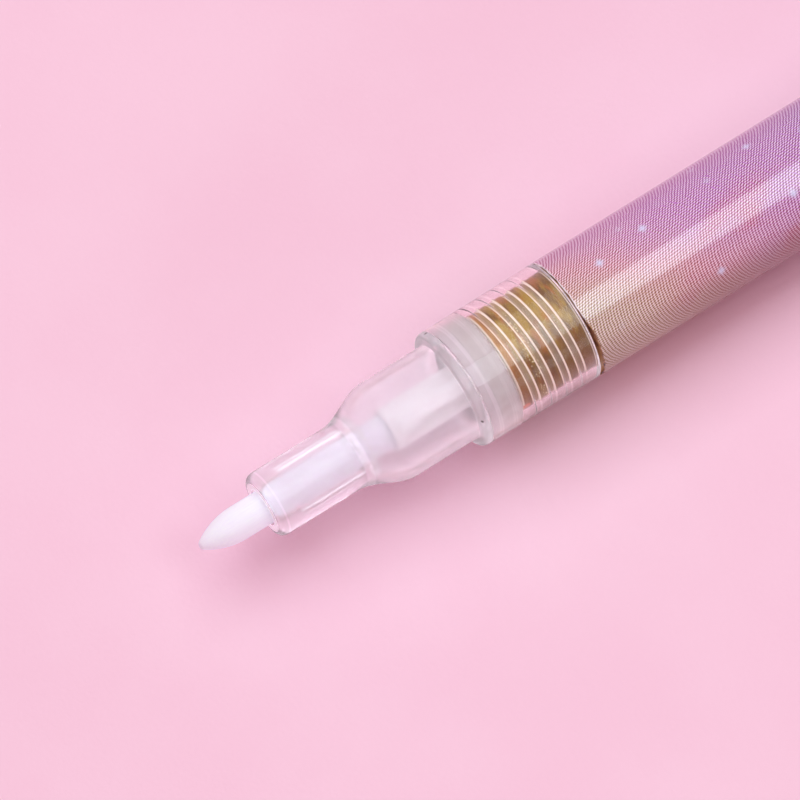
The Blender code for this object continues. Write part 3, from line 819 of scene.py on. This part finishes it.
front = turned("clear_front", front_outline(), front_rule)
print(f"the clear wall has {len(front.data.vertices)} points")

# %% [markdown]
# A clear wall pipes light along itself, and lets it out where the wall turns: in narrow bands at its steps,
# along its near side and on the flanks of the rib, which show as pairs of bright lines. Path tracing would
# find little of that light in the time of a render, so the finish adds it as a glow. The bands are on the
# outside of the wall, and inside the collar only the flanks shine.

# %% Let light out of the wall
BRIGHT_BANDS = (                     # station, reach and glow of each band
    (7.05, 0.12, 0.05), (15.1, 0.45, 0.10), (25.3, 0.5, 0.10), (26.75, 0.12, 0.06), (28.15, 0.1, 0.04),
    (27.3, 1.7, 0.012), (36.5, 0.14, 0.1),
)
BAND_CORE = 0.4                      # share of a band's reach that glows evenly
NEAR_SIDE = (-1.0, -0.55)            # lean over which the near side's glow fades
NEAR_SIDE_GLOW = 0.05
FLANK_GLOW = 0.11
FLANK_REACH = (0.05, 0.14)
THREAD_FRONT = (29.5, 29.8)          # stations over which the thread's marks begin
THREAD_REAR = (35.3, 35.6)           # and end
BORE_SIDE = (COLLAR_BORE + 0.1, COLLAR_BORE + 0.2)
OUTER_SIDE = (2.3, 2.4)              # radii over which the nose's inner faces give way to its outer ones


def thread_distance(finish, point):
    """How far a point is from the middle of the nearest rib, and 1 where there is thread at all."""
    parts = finish.parts(point)
    turns = (parts - THREAD_FIRST) / THREAD_PITCH + (finish.angle(parts) - FACING) / (2 * math.pi)
    threaded = parts.rise(*THREAD_FRONT) * (1 - parts.rise(*THREAD_REAR))
    return turns.maths("PINGPONG", 0.5) * THREAD_PITCH, threaded


def edge_light(clear, point):
    """How bright the light is that leaves the wall at a point."""
    parts = clear.parts(point)
    radius = (parts.out("Y") * parts.out("Y") + parts.out("Z") * parts.out("Z")).power(0.5)
    bands = 0.0
    for station, width, brightness in BRIGHT_BANDS:
        bands = (1 - (parts - station).size().rise(width * BAND_CORE, width)) * brightness + bands
    bands = (1 - clear.lean(parts, radius).rise(*NEAR_SIDE)) * NEAR_SIDE_GLOW + bands
    distance, threaded = thread_distance(clear, point)
    inside = threaded * (1 - radius.rise(*BORE_SIDE))
    middle = (RIB_CREST + RIB_ROOT) / 2
    flank_highlight = (1 - (distance - middle).size().rise(*FLANK_REACH)) * inside
    return bands * radius.rise(*OUTER_SIDE) * (1 - inside) + flank_highlight * FLANK_GLOW


print(f"light leaves the wall in {len(BRIGHT_BANDS)} bands")

# %% [markdown]
# The plastic isn't equally clear everywhere. The nose and the seat are milky, the collar is clearer, and the
# vents and the cavity's front face are frosted and carry a strong painted glow. One glass shader would make
# all of it look wet, so the milky part mixes refraction with light scattered in the wall, under a faint
# painted glow. Two stray specks of dried paint sit by the flange.

# %% Make the clear plastic
SPECKS = ((25.55, 72, 5.28, 0.26), (25.13, -42.5, 5.19, 0.17))    # station, side, radius and size
CLEAR_START = 28.95                  # station where the milky seat gives way to the clear collar
VENT_FACES = (RELIEF_RADIUS + 0.05, 2.1)     # radii between which the nose's inner faces are vents
CAVITY_RIM = 2.4
FACE_SLACK = 0.02


def clear_finish(name, tone, bending, clearness, glow):
    """Clear plastic; what it lacks in clearness it has in milkiness, and it has a painted glow of light from
    inside.
    """
    clear = Finish(name, IOR=bending, Specular_IOR_Level=0.3, Transmission_Weight=clearness)
    clear.wear(Subsurface_Weight=1.0, Subsurface_Scale=0.002, Subsurface_Radius=(1.0, 1.0, 1.0))
    point = clear.place()
    light = clear.blend(edge_light(clear, point) + glow, BLACK, (0.95, 0.86, 0.93, 1.0))
    haze = clear.noise(point, 1.1, detail=3.0)
    scuffs = clear.noise(clear.stretch(point, 0.4, 2.0, 2.0), 5.0, detail=2.0)
    colour = clear.blend(haze, tone, WHITE, "SOFT_LIGHT")
    for station, side, radius, size in SPECKS:
        speck = clear.spot(point, station, side, radius, size)
        colour = clear.blend(speck, colour, paint(10, 4, 2))
        light = clear.blend(speck, light, BLACK)
    # Painted light: the glow at steps, flanks and the near side, plus an even painted glow.
    clear.wear(Emission_Color=light, Emission_Strength=1.0)
    clear.wear(Base_Color=colour, Roughness=haze * 0.03 + 0.02, Normal=clear.bump(scuffs, 0.0012))
    return clear.pass_light(0.4)


def refinish_faces(piece, material, chosen):
    """Give another finish to the faces that a test chooses by their station and radius."""
    piece.data.materials.append(material)
    index = len(piece.data.materials) - 1
    for face in piece.data.polygons:
        x, y, z = face.center / MM
        if chosen(x, math.hypot(y, z) / INSIDE_FLATS):
            face.material_index = index


def in_collar(station, radius):
    return station > CLEAR_START


def in_vent(station, radius):
    return VENT_FACES[0] < radius < VENT_FACES[1] and station < RELIEF_END


def on_cavity_face(station, radius):
    return abs(station - CAVITY_FACE) < FACE_SLACK and radius < CAVITY_RIM


milky = clear_finish("clear_plastic", paint(248, 241, 249), bending=1.2, clearness=0.82, glow=0.027)
clear = clear_finish("clear_collar_plastic", paint(246, 236, 232), bending=1.3, clearness=1.0, glow=0.0)
# The frosted vents and cavity face have a strong painted glow that makes them bright.
frosted = natural_finish("frosted_plastic_painted_glow", paint(246, 238, 250), paint(255, 248, 255), glow=0.2)
dress(front, "pen_body", "front_section", milky)
refinish_faces(front, clear, in_collar)
refinish_faces(front, frosted, in_vent)
refinish_faces(front, frosted, on_cavity_face)

# %% [markdown]
# The barrel is a moulded bottle, and its neck takes the collar's rib in a groove. A coil could be cut out
# of the neck, but it might fall out of step with the rib. So the groove comes from the same thread as the
# rib, a little wider and deeper.

# %% Outline the barrel
NECK_RADIUS = 4.55
NECK_BORE = 3.7
SHELL_RADIUS = 5.33
CHAMBER_RADIUS = 4.33
CHAMBER_START = 38.73
SHOULDER = 1.2
GROOVE_SPARE = 0.05


def neck_rule(station, radius, angle):
    """Sink the groove for the collar's rib into the neck."""
    if lies_on(NECK_RADIUS, radius):
        radius -= (RIB_HEIGHT + GROOVE_SPARE) * thread(station, angle, GROOVE_SPARE)
    return station, radius


def barrel_outline():
    """Bore and face of the neck, its threaded outside, then the shell and the chamber."""
    front_edge = rounded([
        (CHAMBER_START, CHAMBER_RADIUS, 0),
        (LABEL_START + SHOULDER, NECK_BORE, 0),
        (NECK_FACE, NECK_BORE, 0.1),
        (NECK_FACE, NECK_RADIUS, 0.2),
        (NECK_FACE + 0.3, NECK_RADIUS, 0),
    ])
    neck = [(s, NECK_RADIUS) for s in between(NECK_FACE + 0.32, LABEL_START - 0.2, THREAD_STEP)]
    shell = rounded([
        (LABEL_START - 0.1, NECK_RADIUS, 0),
        (LABEL_START, NECK_RADIUS + 0.05, 0),
        (LABEL_START, SHELL_RADIUS, 0.1),
        (BARREL_END, SHELL_RADIUS, 0.1),
        (BARREL_END, CHAMBER_RADIUS, 0.1),
    ])
    return front_edge + neck + shell


barrel = turned("bottle", barrel_outline(), neck_rule)
print(f"the neck starts at {NECK_FACE:.2f} mm, and the chamber at {CHAMBER_START} mm")

# %% [markdown]
# Gold paint has crept over the neck and dried in mottled patches: brown where it is thick, olive where it
# is thin, with a streak of loose metal flakes, painted pale as their glints. Bright lines beside the rib, at
# the neck's front edge and under the collar's end are painted highlights, and the near side has painted
# shade. A picture wrapped round the neck would have a seam, so the patches come from noise drawn out round
# the neck, the way that the thread smears them when the front is screwed on.

# %% Stain the neck with gold paint
FLANK = 0.32                         # from the middle of a rib to the painted highlight on the land beside it, in mm
STREAK_AT = 31.4                     # station of the streak of loose flakes
THIN_PAINT = (29.6, 30.6)            # stations over which the neck's pale front gives way to full paint
NECK_SHADE_STATIONS = (30.0, 35.5)           # stations over which the near side's painted shade deepens
DROP_SIDE = -67                      # in degrees from the line that faces the camera


def gold_stain_finish():
    stain = Finish("gold_stained_plastic", Metallic=0.1, Roughness=0.45)
    point = stain.place()
    along = stain.parts(point)
    smears = stain.noise(stain.stretch(point, 1.4, 0.35, 0.35), 1.0, detail=4.0, roughness=0.6)
    patches = stain.noise(stain.stretch(point, 1.0, 0.35, 0.35), 1.3, detail=2.0)
    flakes = stain.node("TexVoronoi", None, {"Vector": point, "Scale": 4.5})
    brown = stain.blend(smears.rise(0.38, 0.62), paint(116, 78, 20), paint(180, 146, 48))
    rust = stain.blend(patches.rise(0.5, 0.7) * 0.7, brown, paint(184, 106, 34))
    rust = stain.blend((1 - along.rise(*THIN_PAINT)) * 0.6, rust, paint(196, 132, 76))
    # Painted shade: the near side of the neck is darker, more so towards the rear.
    neck_shade_depth = along.rise(*NECK_SHADE_STATIONS) * 0.35 + 0.45
    near = 1 - stain.lean(along, NECK_RADIUS).rise(-0.5, 0.0)
    rust = stain.blend(near * neck_shade_depth, rust, paint(112, 66, 0))
    distance, threaded = thread_distance(stain, point)
    crest = (1 - distance.rise(0.12, 0.26)) * threaded
    flank_highlight = (1 - (distance - FLANK).size().rise(0.04, 0.12)) * threaded
    colour = stain.blend(crest * 0.5, rust, paint(176, 160, 138))
    # A streak of loose metal flakes, painted pale as their glints.
    streak = 1 - ((along - STREAK_AT).size() + smears * 0.5).rise(0.35, 0.8)
    glint = (1 - flakes.rise(0.12, 0.42)) * (streak * 0.9 + 0.08)
    colour = stain.blend(glint, colour, paint(255, 246, 200))
    # Painted highlights: cream lines beside the rib, at the neck's front edge and under the collar's end.
    neck_edge_highlight = 1 - along.rise(NECK_FACE + 0.1, NECK_FACE + 0.24)
    collar_end_highlight = 1 - (along - COLLAR_END + 0.12).size().rise(0.03, 0.08)
    colour = stain.blend(flank_highlight.at_least(neck_edge_highlight).at_least(collar_end_highlight * 0.7), colour, paint(255, 244, 230))
    drop = stain.spot(point, NECK_FACE + 0.35, DROP_SIDE, NECK_RADIUS, 0.5)
    colour = stain.blend(drop, colour, paint(216, 104, 44))
    crack = stain.blend(smears.rise(0.4, 0.6), paint(104, 48, 30), paint(196, 140, 84))
    colour = stain.blend(along.rise(COLLAR_END, COLLAR_END + 0.02), colour, crack)
    return stain.wear(Base_Color=colour, Normal=stain.bump(smears, 0.05))


dress(barrel, "pen_body", "barrel", gold_stain_finish())

# %% [markdown]
# A printed film is shrunk round the barrel. Its front edge is torn, so a plain ring would look too new. A
# rule lets the edge wander, and it reaches further forward on the upper side.

# %% Shape the film
FILM_INNER = 5.38
EDGE_ZONE = 0.2                      # only points this near to the film's front edge wander
EDGE_REACH = 0.22                    # how much further forward the film reaches on the upper side, in mm
REACH_SIDES = (-22, 110)             # where that part begins and ends, in degrees from the facing line
REACH_FADES = (16, 30)
RIPPLES = ((0.03, 17, 0.0), (0.02, 41, 1.0))     # height, number round the barrel, and start


def film_rule(station, radius, angle):
    """Let the film's front edge wander, as a torn shrink sleeve's does: it is widest on the upper side."""
    if station - LABEL_START < EDGE_ZONE:
        side = math.degrees((angle - FACING + math.pi) % (2 * math.pi) - math.pi)
        first, last = REACH_SIDES
        rising, falling = REACH_FADES
        station -= EDGE_REACH * smooth((side - first) / rising) * smooth((last - side) / falling)
        station -= sum(height * math.sin(count * angle + start) for height, count, start in RIPPLES)
    return station, radius


film_outline = rounded([
    (LABEL_START, FILM_INNER, 0),
    (LABEL_START, BARREL_RADIUS, 0.06),
    (LABEL_END, BARREL_RADIUS, 0.06),
    (LABEL_END, FILM_INNER, 0),
])
film = turned("film_sleeve", film_outline, film_rule)
print(f"the film is {LABEL_END - LABEL_START:.1f} mm long")

# %% [markdown]
# The print runs from gold at the front, through rose, to violet. A straight ramp along the pen would look
# like a rainbow toy, so the colours lag on the near side, drift in soft clouds and have a rosy blush in
# places. All of it is generic decoration, made by formulas.

# %% Grade the print's colours
PRINT_STOPS = (                      # station on the film, and the colour there
    (-8.0, paint(204, 194, 154)), (-1.0, paint(206, 186, 150)), (3.0, paint(212, 168, 150)),
    (7.0, paint(220, 150, 168)), (12.0, paint(208, 138, 194)), (17.0, paint(198, 122, 202)),
    (28.0, paint(188, 120, 202)), (44.0, paint(160, 144, 212)), (58.0, paint(214, 154, 192)),
    (74.0, paint(216, 168, 156)), (88.0, paint(208, 178, 146)),
)
PRINT_LENGTH = 100.0
PRINT_LEAN = 8.5                     # how far the colours lag on the near side, in mm
PRINT_DRIFT = 9.0                    # how far clouds move them, in mm


def graded(film, point, along, lean):
    """The print's ground colour at a point."""
    clouds = film.noise(film.stretch(point, 0.6, 1.0, 1.0), 0.16, detail=3.0)
    travel = along + lean * PRINT_LEAN + (clouds - 0.5) * PRINT_DRIFT
    first = PRINT_STOPS[0][0]
    stops = [((place - first) / PRINT_LENGTH, value) for place, value in PRINT_STOPS]
    ground = film.node("ValToRGB", {"stops": stops}, {"Fac": (travel - first) / PRINT_LENGTH})
    blush = film.noise(film.stretch(point, 0.6, 1.0, 1.0), 0.26, detail=2.0)
    share = blush.rise(0.48, 0.66) * along.rise(6.0, 12.0) * (1 - lean.rise(-0.1, 0.6)) * 0.7
    return film.blend(share, ground, paint(206, 84, 134))


print(f"the print has {len(PRINT_STOPS)} colours")

# %% [markdown]
# A fine engraved screen of crossing wavy lines breaks the colour into tiny woven-looking dots. It could be a
# bump, but on the real film it is flat ink under a smooth gloss, so it only changes the colour: darker where
# neither line runs, and nearly white where two lines cross. A little drift keeps it from looking ruled.

# %% Screen the print
LINE_SPACING = 0.29
SCREEN_SPACING = 0.205
SWING_LENGTH = 22.9                  # round the barrel, for one swing of the lines to and fro
SWING_START = 2.96
SWING = 2.9
SCREEN_SLANT = 0.12
DRIFT = 0.22                         # how far the lines stray, in mm


def screened(film, ground, point, along, around):
    """The ground colour under the woven screen."""
    swing = ((around + SWING_START) / SWING_LENGTH - 0.25).wave() * (2 * SWING)
    drift = film.noise(point, 1.6, detail=2.0) * DRIFT
    lines = ((along - swing + drift) / LINE_SPACING).wave()
    screen = ((around - along * SCREEN_SLANT + drift) / SCREEN_SPACING).wave()
    weave = lines * 0.46 + screen * 0.54
    shade = film.blend(1.0, ground, paint(158, 100, 96), "MULTIPLY")
    colour = film.blend((1 - weave).rise(0.52, 0.8), ground, shade)
    return film.blend(weave.rise(0.5, 0.82) * 0.8, colour, paint(252, 238, 249))


print(f"lines {LINE_SPACING} mm and {SCREEN_SPACING} mm apart")

# %% [markdown]
# Small four-pointed sparkles in a pale halo are scattered over the print. They could be placed one by one,
# but a hand soon arranges them. So each sits in a cell of an uneven pattern, and only some cells have one.

# %% Scatter the sparkles
SPARKLE_SPACING = 4.2
SPARKLE_SIZE = 0.14                  # as a share of the spacing


def sparkled(film, colour, along, around):
    """The same colour with sparkles over it."""
    sheet = film.node("CombineXYZ", None, {0: along / SPARKLE_SPACING, 1: around / SPARKLE_SPACING})
    cell = film.node("TexVoronoi", {"voronoi_dimensions": "2D"}, {"Vector": sheet, "Scale": 1.0}, output=2)
    offset = film.node("VectorMath", {"operation": "SUBTRACT"}, {0: sheet, 1: cell})
    distance = film.node("VectorMath", {"operation": "LENGTH"}, {0: offset}, output=1)
    halo = 1 - distance.rise(0.0, SPARKLE_SIZE)
    offset = film.parts(offset)
    points = (offset.size().power(0.5) + offset.out("Y").size().power(0.5)).power(2)
    chosen = film.parts(cell.out("Color")).rise(0.5, 0.9)
    sparkle = (halo * 0.5 + (1 - points.rise(0.0, SPARKLE_SIZE * 2)) * 0.3) * chosen
    return film.blend(sparkle, colour, paint(222, 228, 255))


print(f"a sparkle in some cells of {SPARKLE_SPACING} mm")

# %% [markdown]
# Last come the film's edges. Its torn front edge is brown with dried paint on the lower side, and shows the
# film's pale core on the upper side. Painted shade darkens the print along the pen's near and far sides.
# A mesh of torn flakes could be added, but at this size the eye only sees their colour, so all of it stays
# colour under one smooth gloss.

# %% Wrap the printed film
NEAR_EDGE_SHADE = (-0.95, -0.45)           # lean over which the near side's painted shade fades
FAR_EDGE_SHADE = (0.7, 1.0)                # and over which the far side's begins


def edge_shaded(film, colour, along, lean):
    """The same colour, with painted shade along the pen's near and far sides."""
    # Painted shade: the print is darker along the near side and the far side.
    low = (1 - lean.rise(*NEAR_EDGE_SHADE)) * (along.rise(3.0, 14.0) * 0.24 + 0.38)
    colour = film.blend(low, colour, paint(104, 70, 44))
    return film.blend(lean.rise(*FAR_EDGE_SHADE) * 0.35, colour, paint(160, 96, 150))


def torn_edge(film, colour, point, along, side):
    """The same colour with the torn front edge; side is the angle from the line that faces the camera."""
    forward = side.rise(-0.38, -0.10) * (1 - side.rise(1.40, 1.92)) * EDGE_REACH
    torn = film.noise(point, 3.0, detail=3.0)
    rim = 1 - (along + forward + (torn - 0.5) * 0.3).rise(0.05, 0.12)
    brown = film.blend(torn.rise(0.4, 0.6), paint(86, 42, 24), paint(176, 126, 70))
    return film.blend(rim, colour, film.blend(side.rise(-0.25, 0.0), brown, paint(240, 228, 232)))


def film_finish():
    film = Finish("printed_film", Roughness=0.2, IOR=1.5, Coat_Weight=0.6, Coat_Roughness=0.12)
    point = film.place()
    parts = film.parts(point)
    along = parts - LABEL_START
    side = film.angle(parts) - FACING
    around = side * BARREL_RADIUS
    lean = film.lean(parts, BARREL_RADIUS)
    colour = screened(film, graded(film, point, along, lean), point, along, around)
    colour = sparkled(film, edge_shaded(film, colour, along, lean), along, around)
    return film.wear(Base_Color=torn_edge(film, colour, point, along, side))


dress(film, "pen_body", "label", film_finish())

# %% [markdown]
# The tail plug, with its flush ring and the spigot that the cap posts on, and the cap itself are moulded in
# gold-coloured plastic. The photograph ends before them, so they follow the pen's own colours and what such
# pens have. Metal flake in the plastic gives a soft sheen with a little orange peel. Plain metal would look
# like a machined part, so the plastic is only partly metallic, under a thin clear coat.

# %% Make the tail plug and the cap
PLUG_START, SPIGOT_END = reach("tail_plug")
CAP_START, CAP_END = reach("cap_shell")
PLUG_RADIUS = 4.16
PLUG_BORE = 3.26
PLUG_LENGTH = 7.5                    # of the part inside the barrel
BEAD_COUNT = 2
BEAD_LENGTH = 1.0
BEAD_HEIGHT = 0.12
BEAD_SLOPE = 0.3
RING_GAP = 0.05
RING_LENGTH = 2.0
SPIGOT_WALL = 1.2
CAP_BORE = 4.575
CAP_TAPER = 0.2
CAP_SEAL_STEP = 139.0
CAP_SEAL_DEPTH = 0.18
CAP_HOLLOW_END = 152.4


def plug_outline():
    """Beaded plug, flush ring and closed spigot."""
    corners = [(PLUG_START, PLUG_BORE, 0.1), (PLUG_START, PLUG_RADIUS, 0.2)]
    bead = PLUG_RADIUS + BEAD_HEIGHT
    plain = (PLUG_LENGTH - BEAD_COUNT * BEAD_LENGTH) / (BEAD_COUNT + 1)
    for index in range(BEAD_COUNT):
        start = PLUG_START + plain + index * (plain + BEAD_LENGTH)
        corners += [
            (start, PLUG_RADIUS, 0),
            (start + BEAD_SLOPE, bead, 0.1),
            (start + BEAD_LENGTH - BEAD_SLOPE, bead, 0.1),
            (start + BEAD_LENGTH, PLUG_RADIUS, 0),
        ]
    ring_start = BARREL_END + RING_GAP
    ring_end = ring_start + RING_LENGTH
    corners += [
        (ring_start, PLUG_RADIUS, 0),
        (ring_start, BARREL_RADIUS, 0.12),
        (ring_end, BARREL_RADIUS, 0.12),
        (ring_end, SEAT_RADIUS, 0.1),
        (SPIGOT_END, SEAT_RADIUS, 0.6),
        (SPIGOT_END, 0.0, 0),
    ]
    inner = [(SPIGOT_END - SPIGOT_WALL, 0.0), (SPIGOT_END - SPIGOT_WALL, PLUG_BORE)]
    return rounded(corners) + inner


def cap_outline():
    """Closed shell, with a step in its bore for the inner seal."""
    seal_bore = CAP_BORE - CAP_SEAL_DEPTH
    corners = [
        (CAP_START, CAP_BORE, 0.2),
        (CAP_START, BARREL_RADIUS, 0.25),
        (CAP_END, BARREL_RADIUS - CAP_TAPER, 1.0),
        (CAP_END, 0.0, 0),
    ]
    inner = [
        (CAP_HOLLOW_END, 0.0),
        (CAP_HOLLOW_END, seal_bore),
        (CAP_SEAL_STEP + 0.1, seal_bore),
        (CAP_SEAL_STEP - 0.08, CAP_BORE),
        (CAP_START + 0.3, CAP_BORE),
    ]
    return rounded(corners) + inner


def gold_plastic_finish():
    gold = Finish("gold_plastic", Metallic=0.75, Coat_Weight=0.6, Coat_Roughness=0.08)
    point = gold.place()
    flow = gold.noise(gold.stretch(point, 0.15, 1.0, 1.0), 0.8, detail=3.0)
    flake = gold.noise(point, 14.0, detail=1.0)
    colour = gold.blend(flow, paint(196, 150, 84), paint(222, 182, 116))
    colour = gold.blend(flake.rise(0.6, 0.8) * 0.4, colour, paint(248, 222, 160))
    return gold.wear(Base_Color=colour, Roughness=flow * 0.12 + 0.24, Normal=gold.bump(flake, 0.002))


gold_plastic = gold_plastic_finish()
plug = turned("end_plug", plug_outline())
dress(plug, "pen_body", "tail_plug", gold_plastic)
cap = turned("cap", cap_outline())
dress(cap, "cap", "cap_shell", gold_plastic)

# %% [markdown]
# The pieces deep inside keep their CAD shapes. They could be turned again like the outer ones, but next to
# nothing of them shows, so they only get their materials: soft pale rubber, a polished ball, undyed plastic
# and the paint itself. The valve's sleeve shows a little behind the clear seat, so its two rims are painted
# paler, as highlights.

# %% Finish the inner pieces
VALVE_RIMS = (27.2, 28.6)            # stations of the sleeve's two rims


def rubber_finish():
    rubber = Finish("seal_rubber", Roughness=0.62)
    point = rubber.place()
    mottle = rubber.noise(point, 2.0, detail=3.0)
    colour = rubber.blend(mottle, paint(201, 187, 192), paint(217, 203, 208))
    return rubber.wear(Base_Color=colour, Normal=rubber.bump(mottle, 0.02))


def steel_finish(name, roughness):
    steel = Finish(name, Metallic=1.0)
    point = steel.place()
    drawn = steel.noise(steel.stretch(point, 0.4, 6.0, 6.0), 2.0, detail=2.0)
    colour = steel.blend(drawn, (0.52, 0.52, 0.54, 1.0), (0.68, 0.68, 0.69, 1.0))
    return steel.wear(Base_Color=colour, Roughness=drawn * 0.12 + roughness)


def paint_finish():
    wet = Finish("gold_paint", Metallic=0.6, Roughness=0.3)
    point = wet.place()
    swirl = wet.noise(wet.stretch(point, 0.3, 1.0, 1.0), 0.7, detail=4.0)
    flake = wet.noise(point, 16.0, detail=1.0)
    colour = wet.blend(swirl, paint(158, 116, 58), paint(206, 162, 88))
    colour = wet.blend(flake.rise(0.6, 0.8) * 0.5, colour, paint(255, 232, 170))
    return wet.wear(Base_Color=colour, Normal=wet.bump(flake, 0.005))


def refinish(node, material):
    """Give a CAD node a better material."""
    piece = frame["nodes"][node]
    piece.data.materials.clear()
    piece.data.materials.append(material)


rubber = rubber_finish()
for node in ("seal_ring", "valve_seat"):
    refinish(node, rubber)
for node in ("spring_cage", "cap_inner_seal"):
    refinish(node, natural)
valve_at = (frame["nodes"]["valve_body"].matrix_world.translation.x - NIB_TIP) / MM
rims = [station - valve_at for station in VALVE_RIMS]
# The valve's two rims are painted paler, as highlights.
refinish("valve_body", natural_finish("valve_plastic", paint(190, 177, 176), paint(210, 197, 196), rims))
refinish("mixing_ball", steel_finish("ball_steel", 0.08))
refinish("paint_lining", paint_finish())
print("inner pieces finished")

# %% [markdown]
# The return spring, of drawn steel wire, is the one piece that changes its shape in use. Pressing the nib
# shortens it: its rear end stays in the cage, and its front end follows the plunger. A rigid spring would
# cut through the plunger's head there. Here the spring gets its own copy of the CAD mesh, and the share of
# its length that it keeps when the nib is pressed is worked out.

# %% Copy the spring and work out the share that it keeps
SPRING_START, SPRING_END = reach("valve_spring")
press = next(joint for joint in frame["joints"] if joint["name"] == "nib_press")
travel = press["range_m"][1] / MM
cad_spring = frame["nodes"]["valve_spring"]
spring = bpy.data.objects.new("return_spring", cad_spring.data.copy())
spring.matrix_world = cad_spring.matrix_world
bpy.context.scene.collection.objects.link(spring)
spring.data.materials.clear()
spring.data.shade_smooth()
dress(spring, "pen_body", "valve_spring", steel_finish("spring_steel", 0.22))
share_kept = 1 - travel / (SPRING_END - SPRING_START)
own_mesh(spring)
print(f"the spring is {share_kept:.3f} of its length when the nib is pressed {travel:.1f} mm")

# %% [markdown]
# Last, the size of the CAD model is printed. A look that outgrows its part is a fault.

# %% Print the size of the CAD model
print("cad box", [round(value / MM, 3) for value in (*cad_low, *cad_high)])
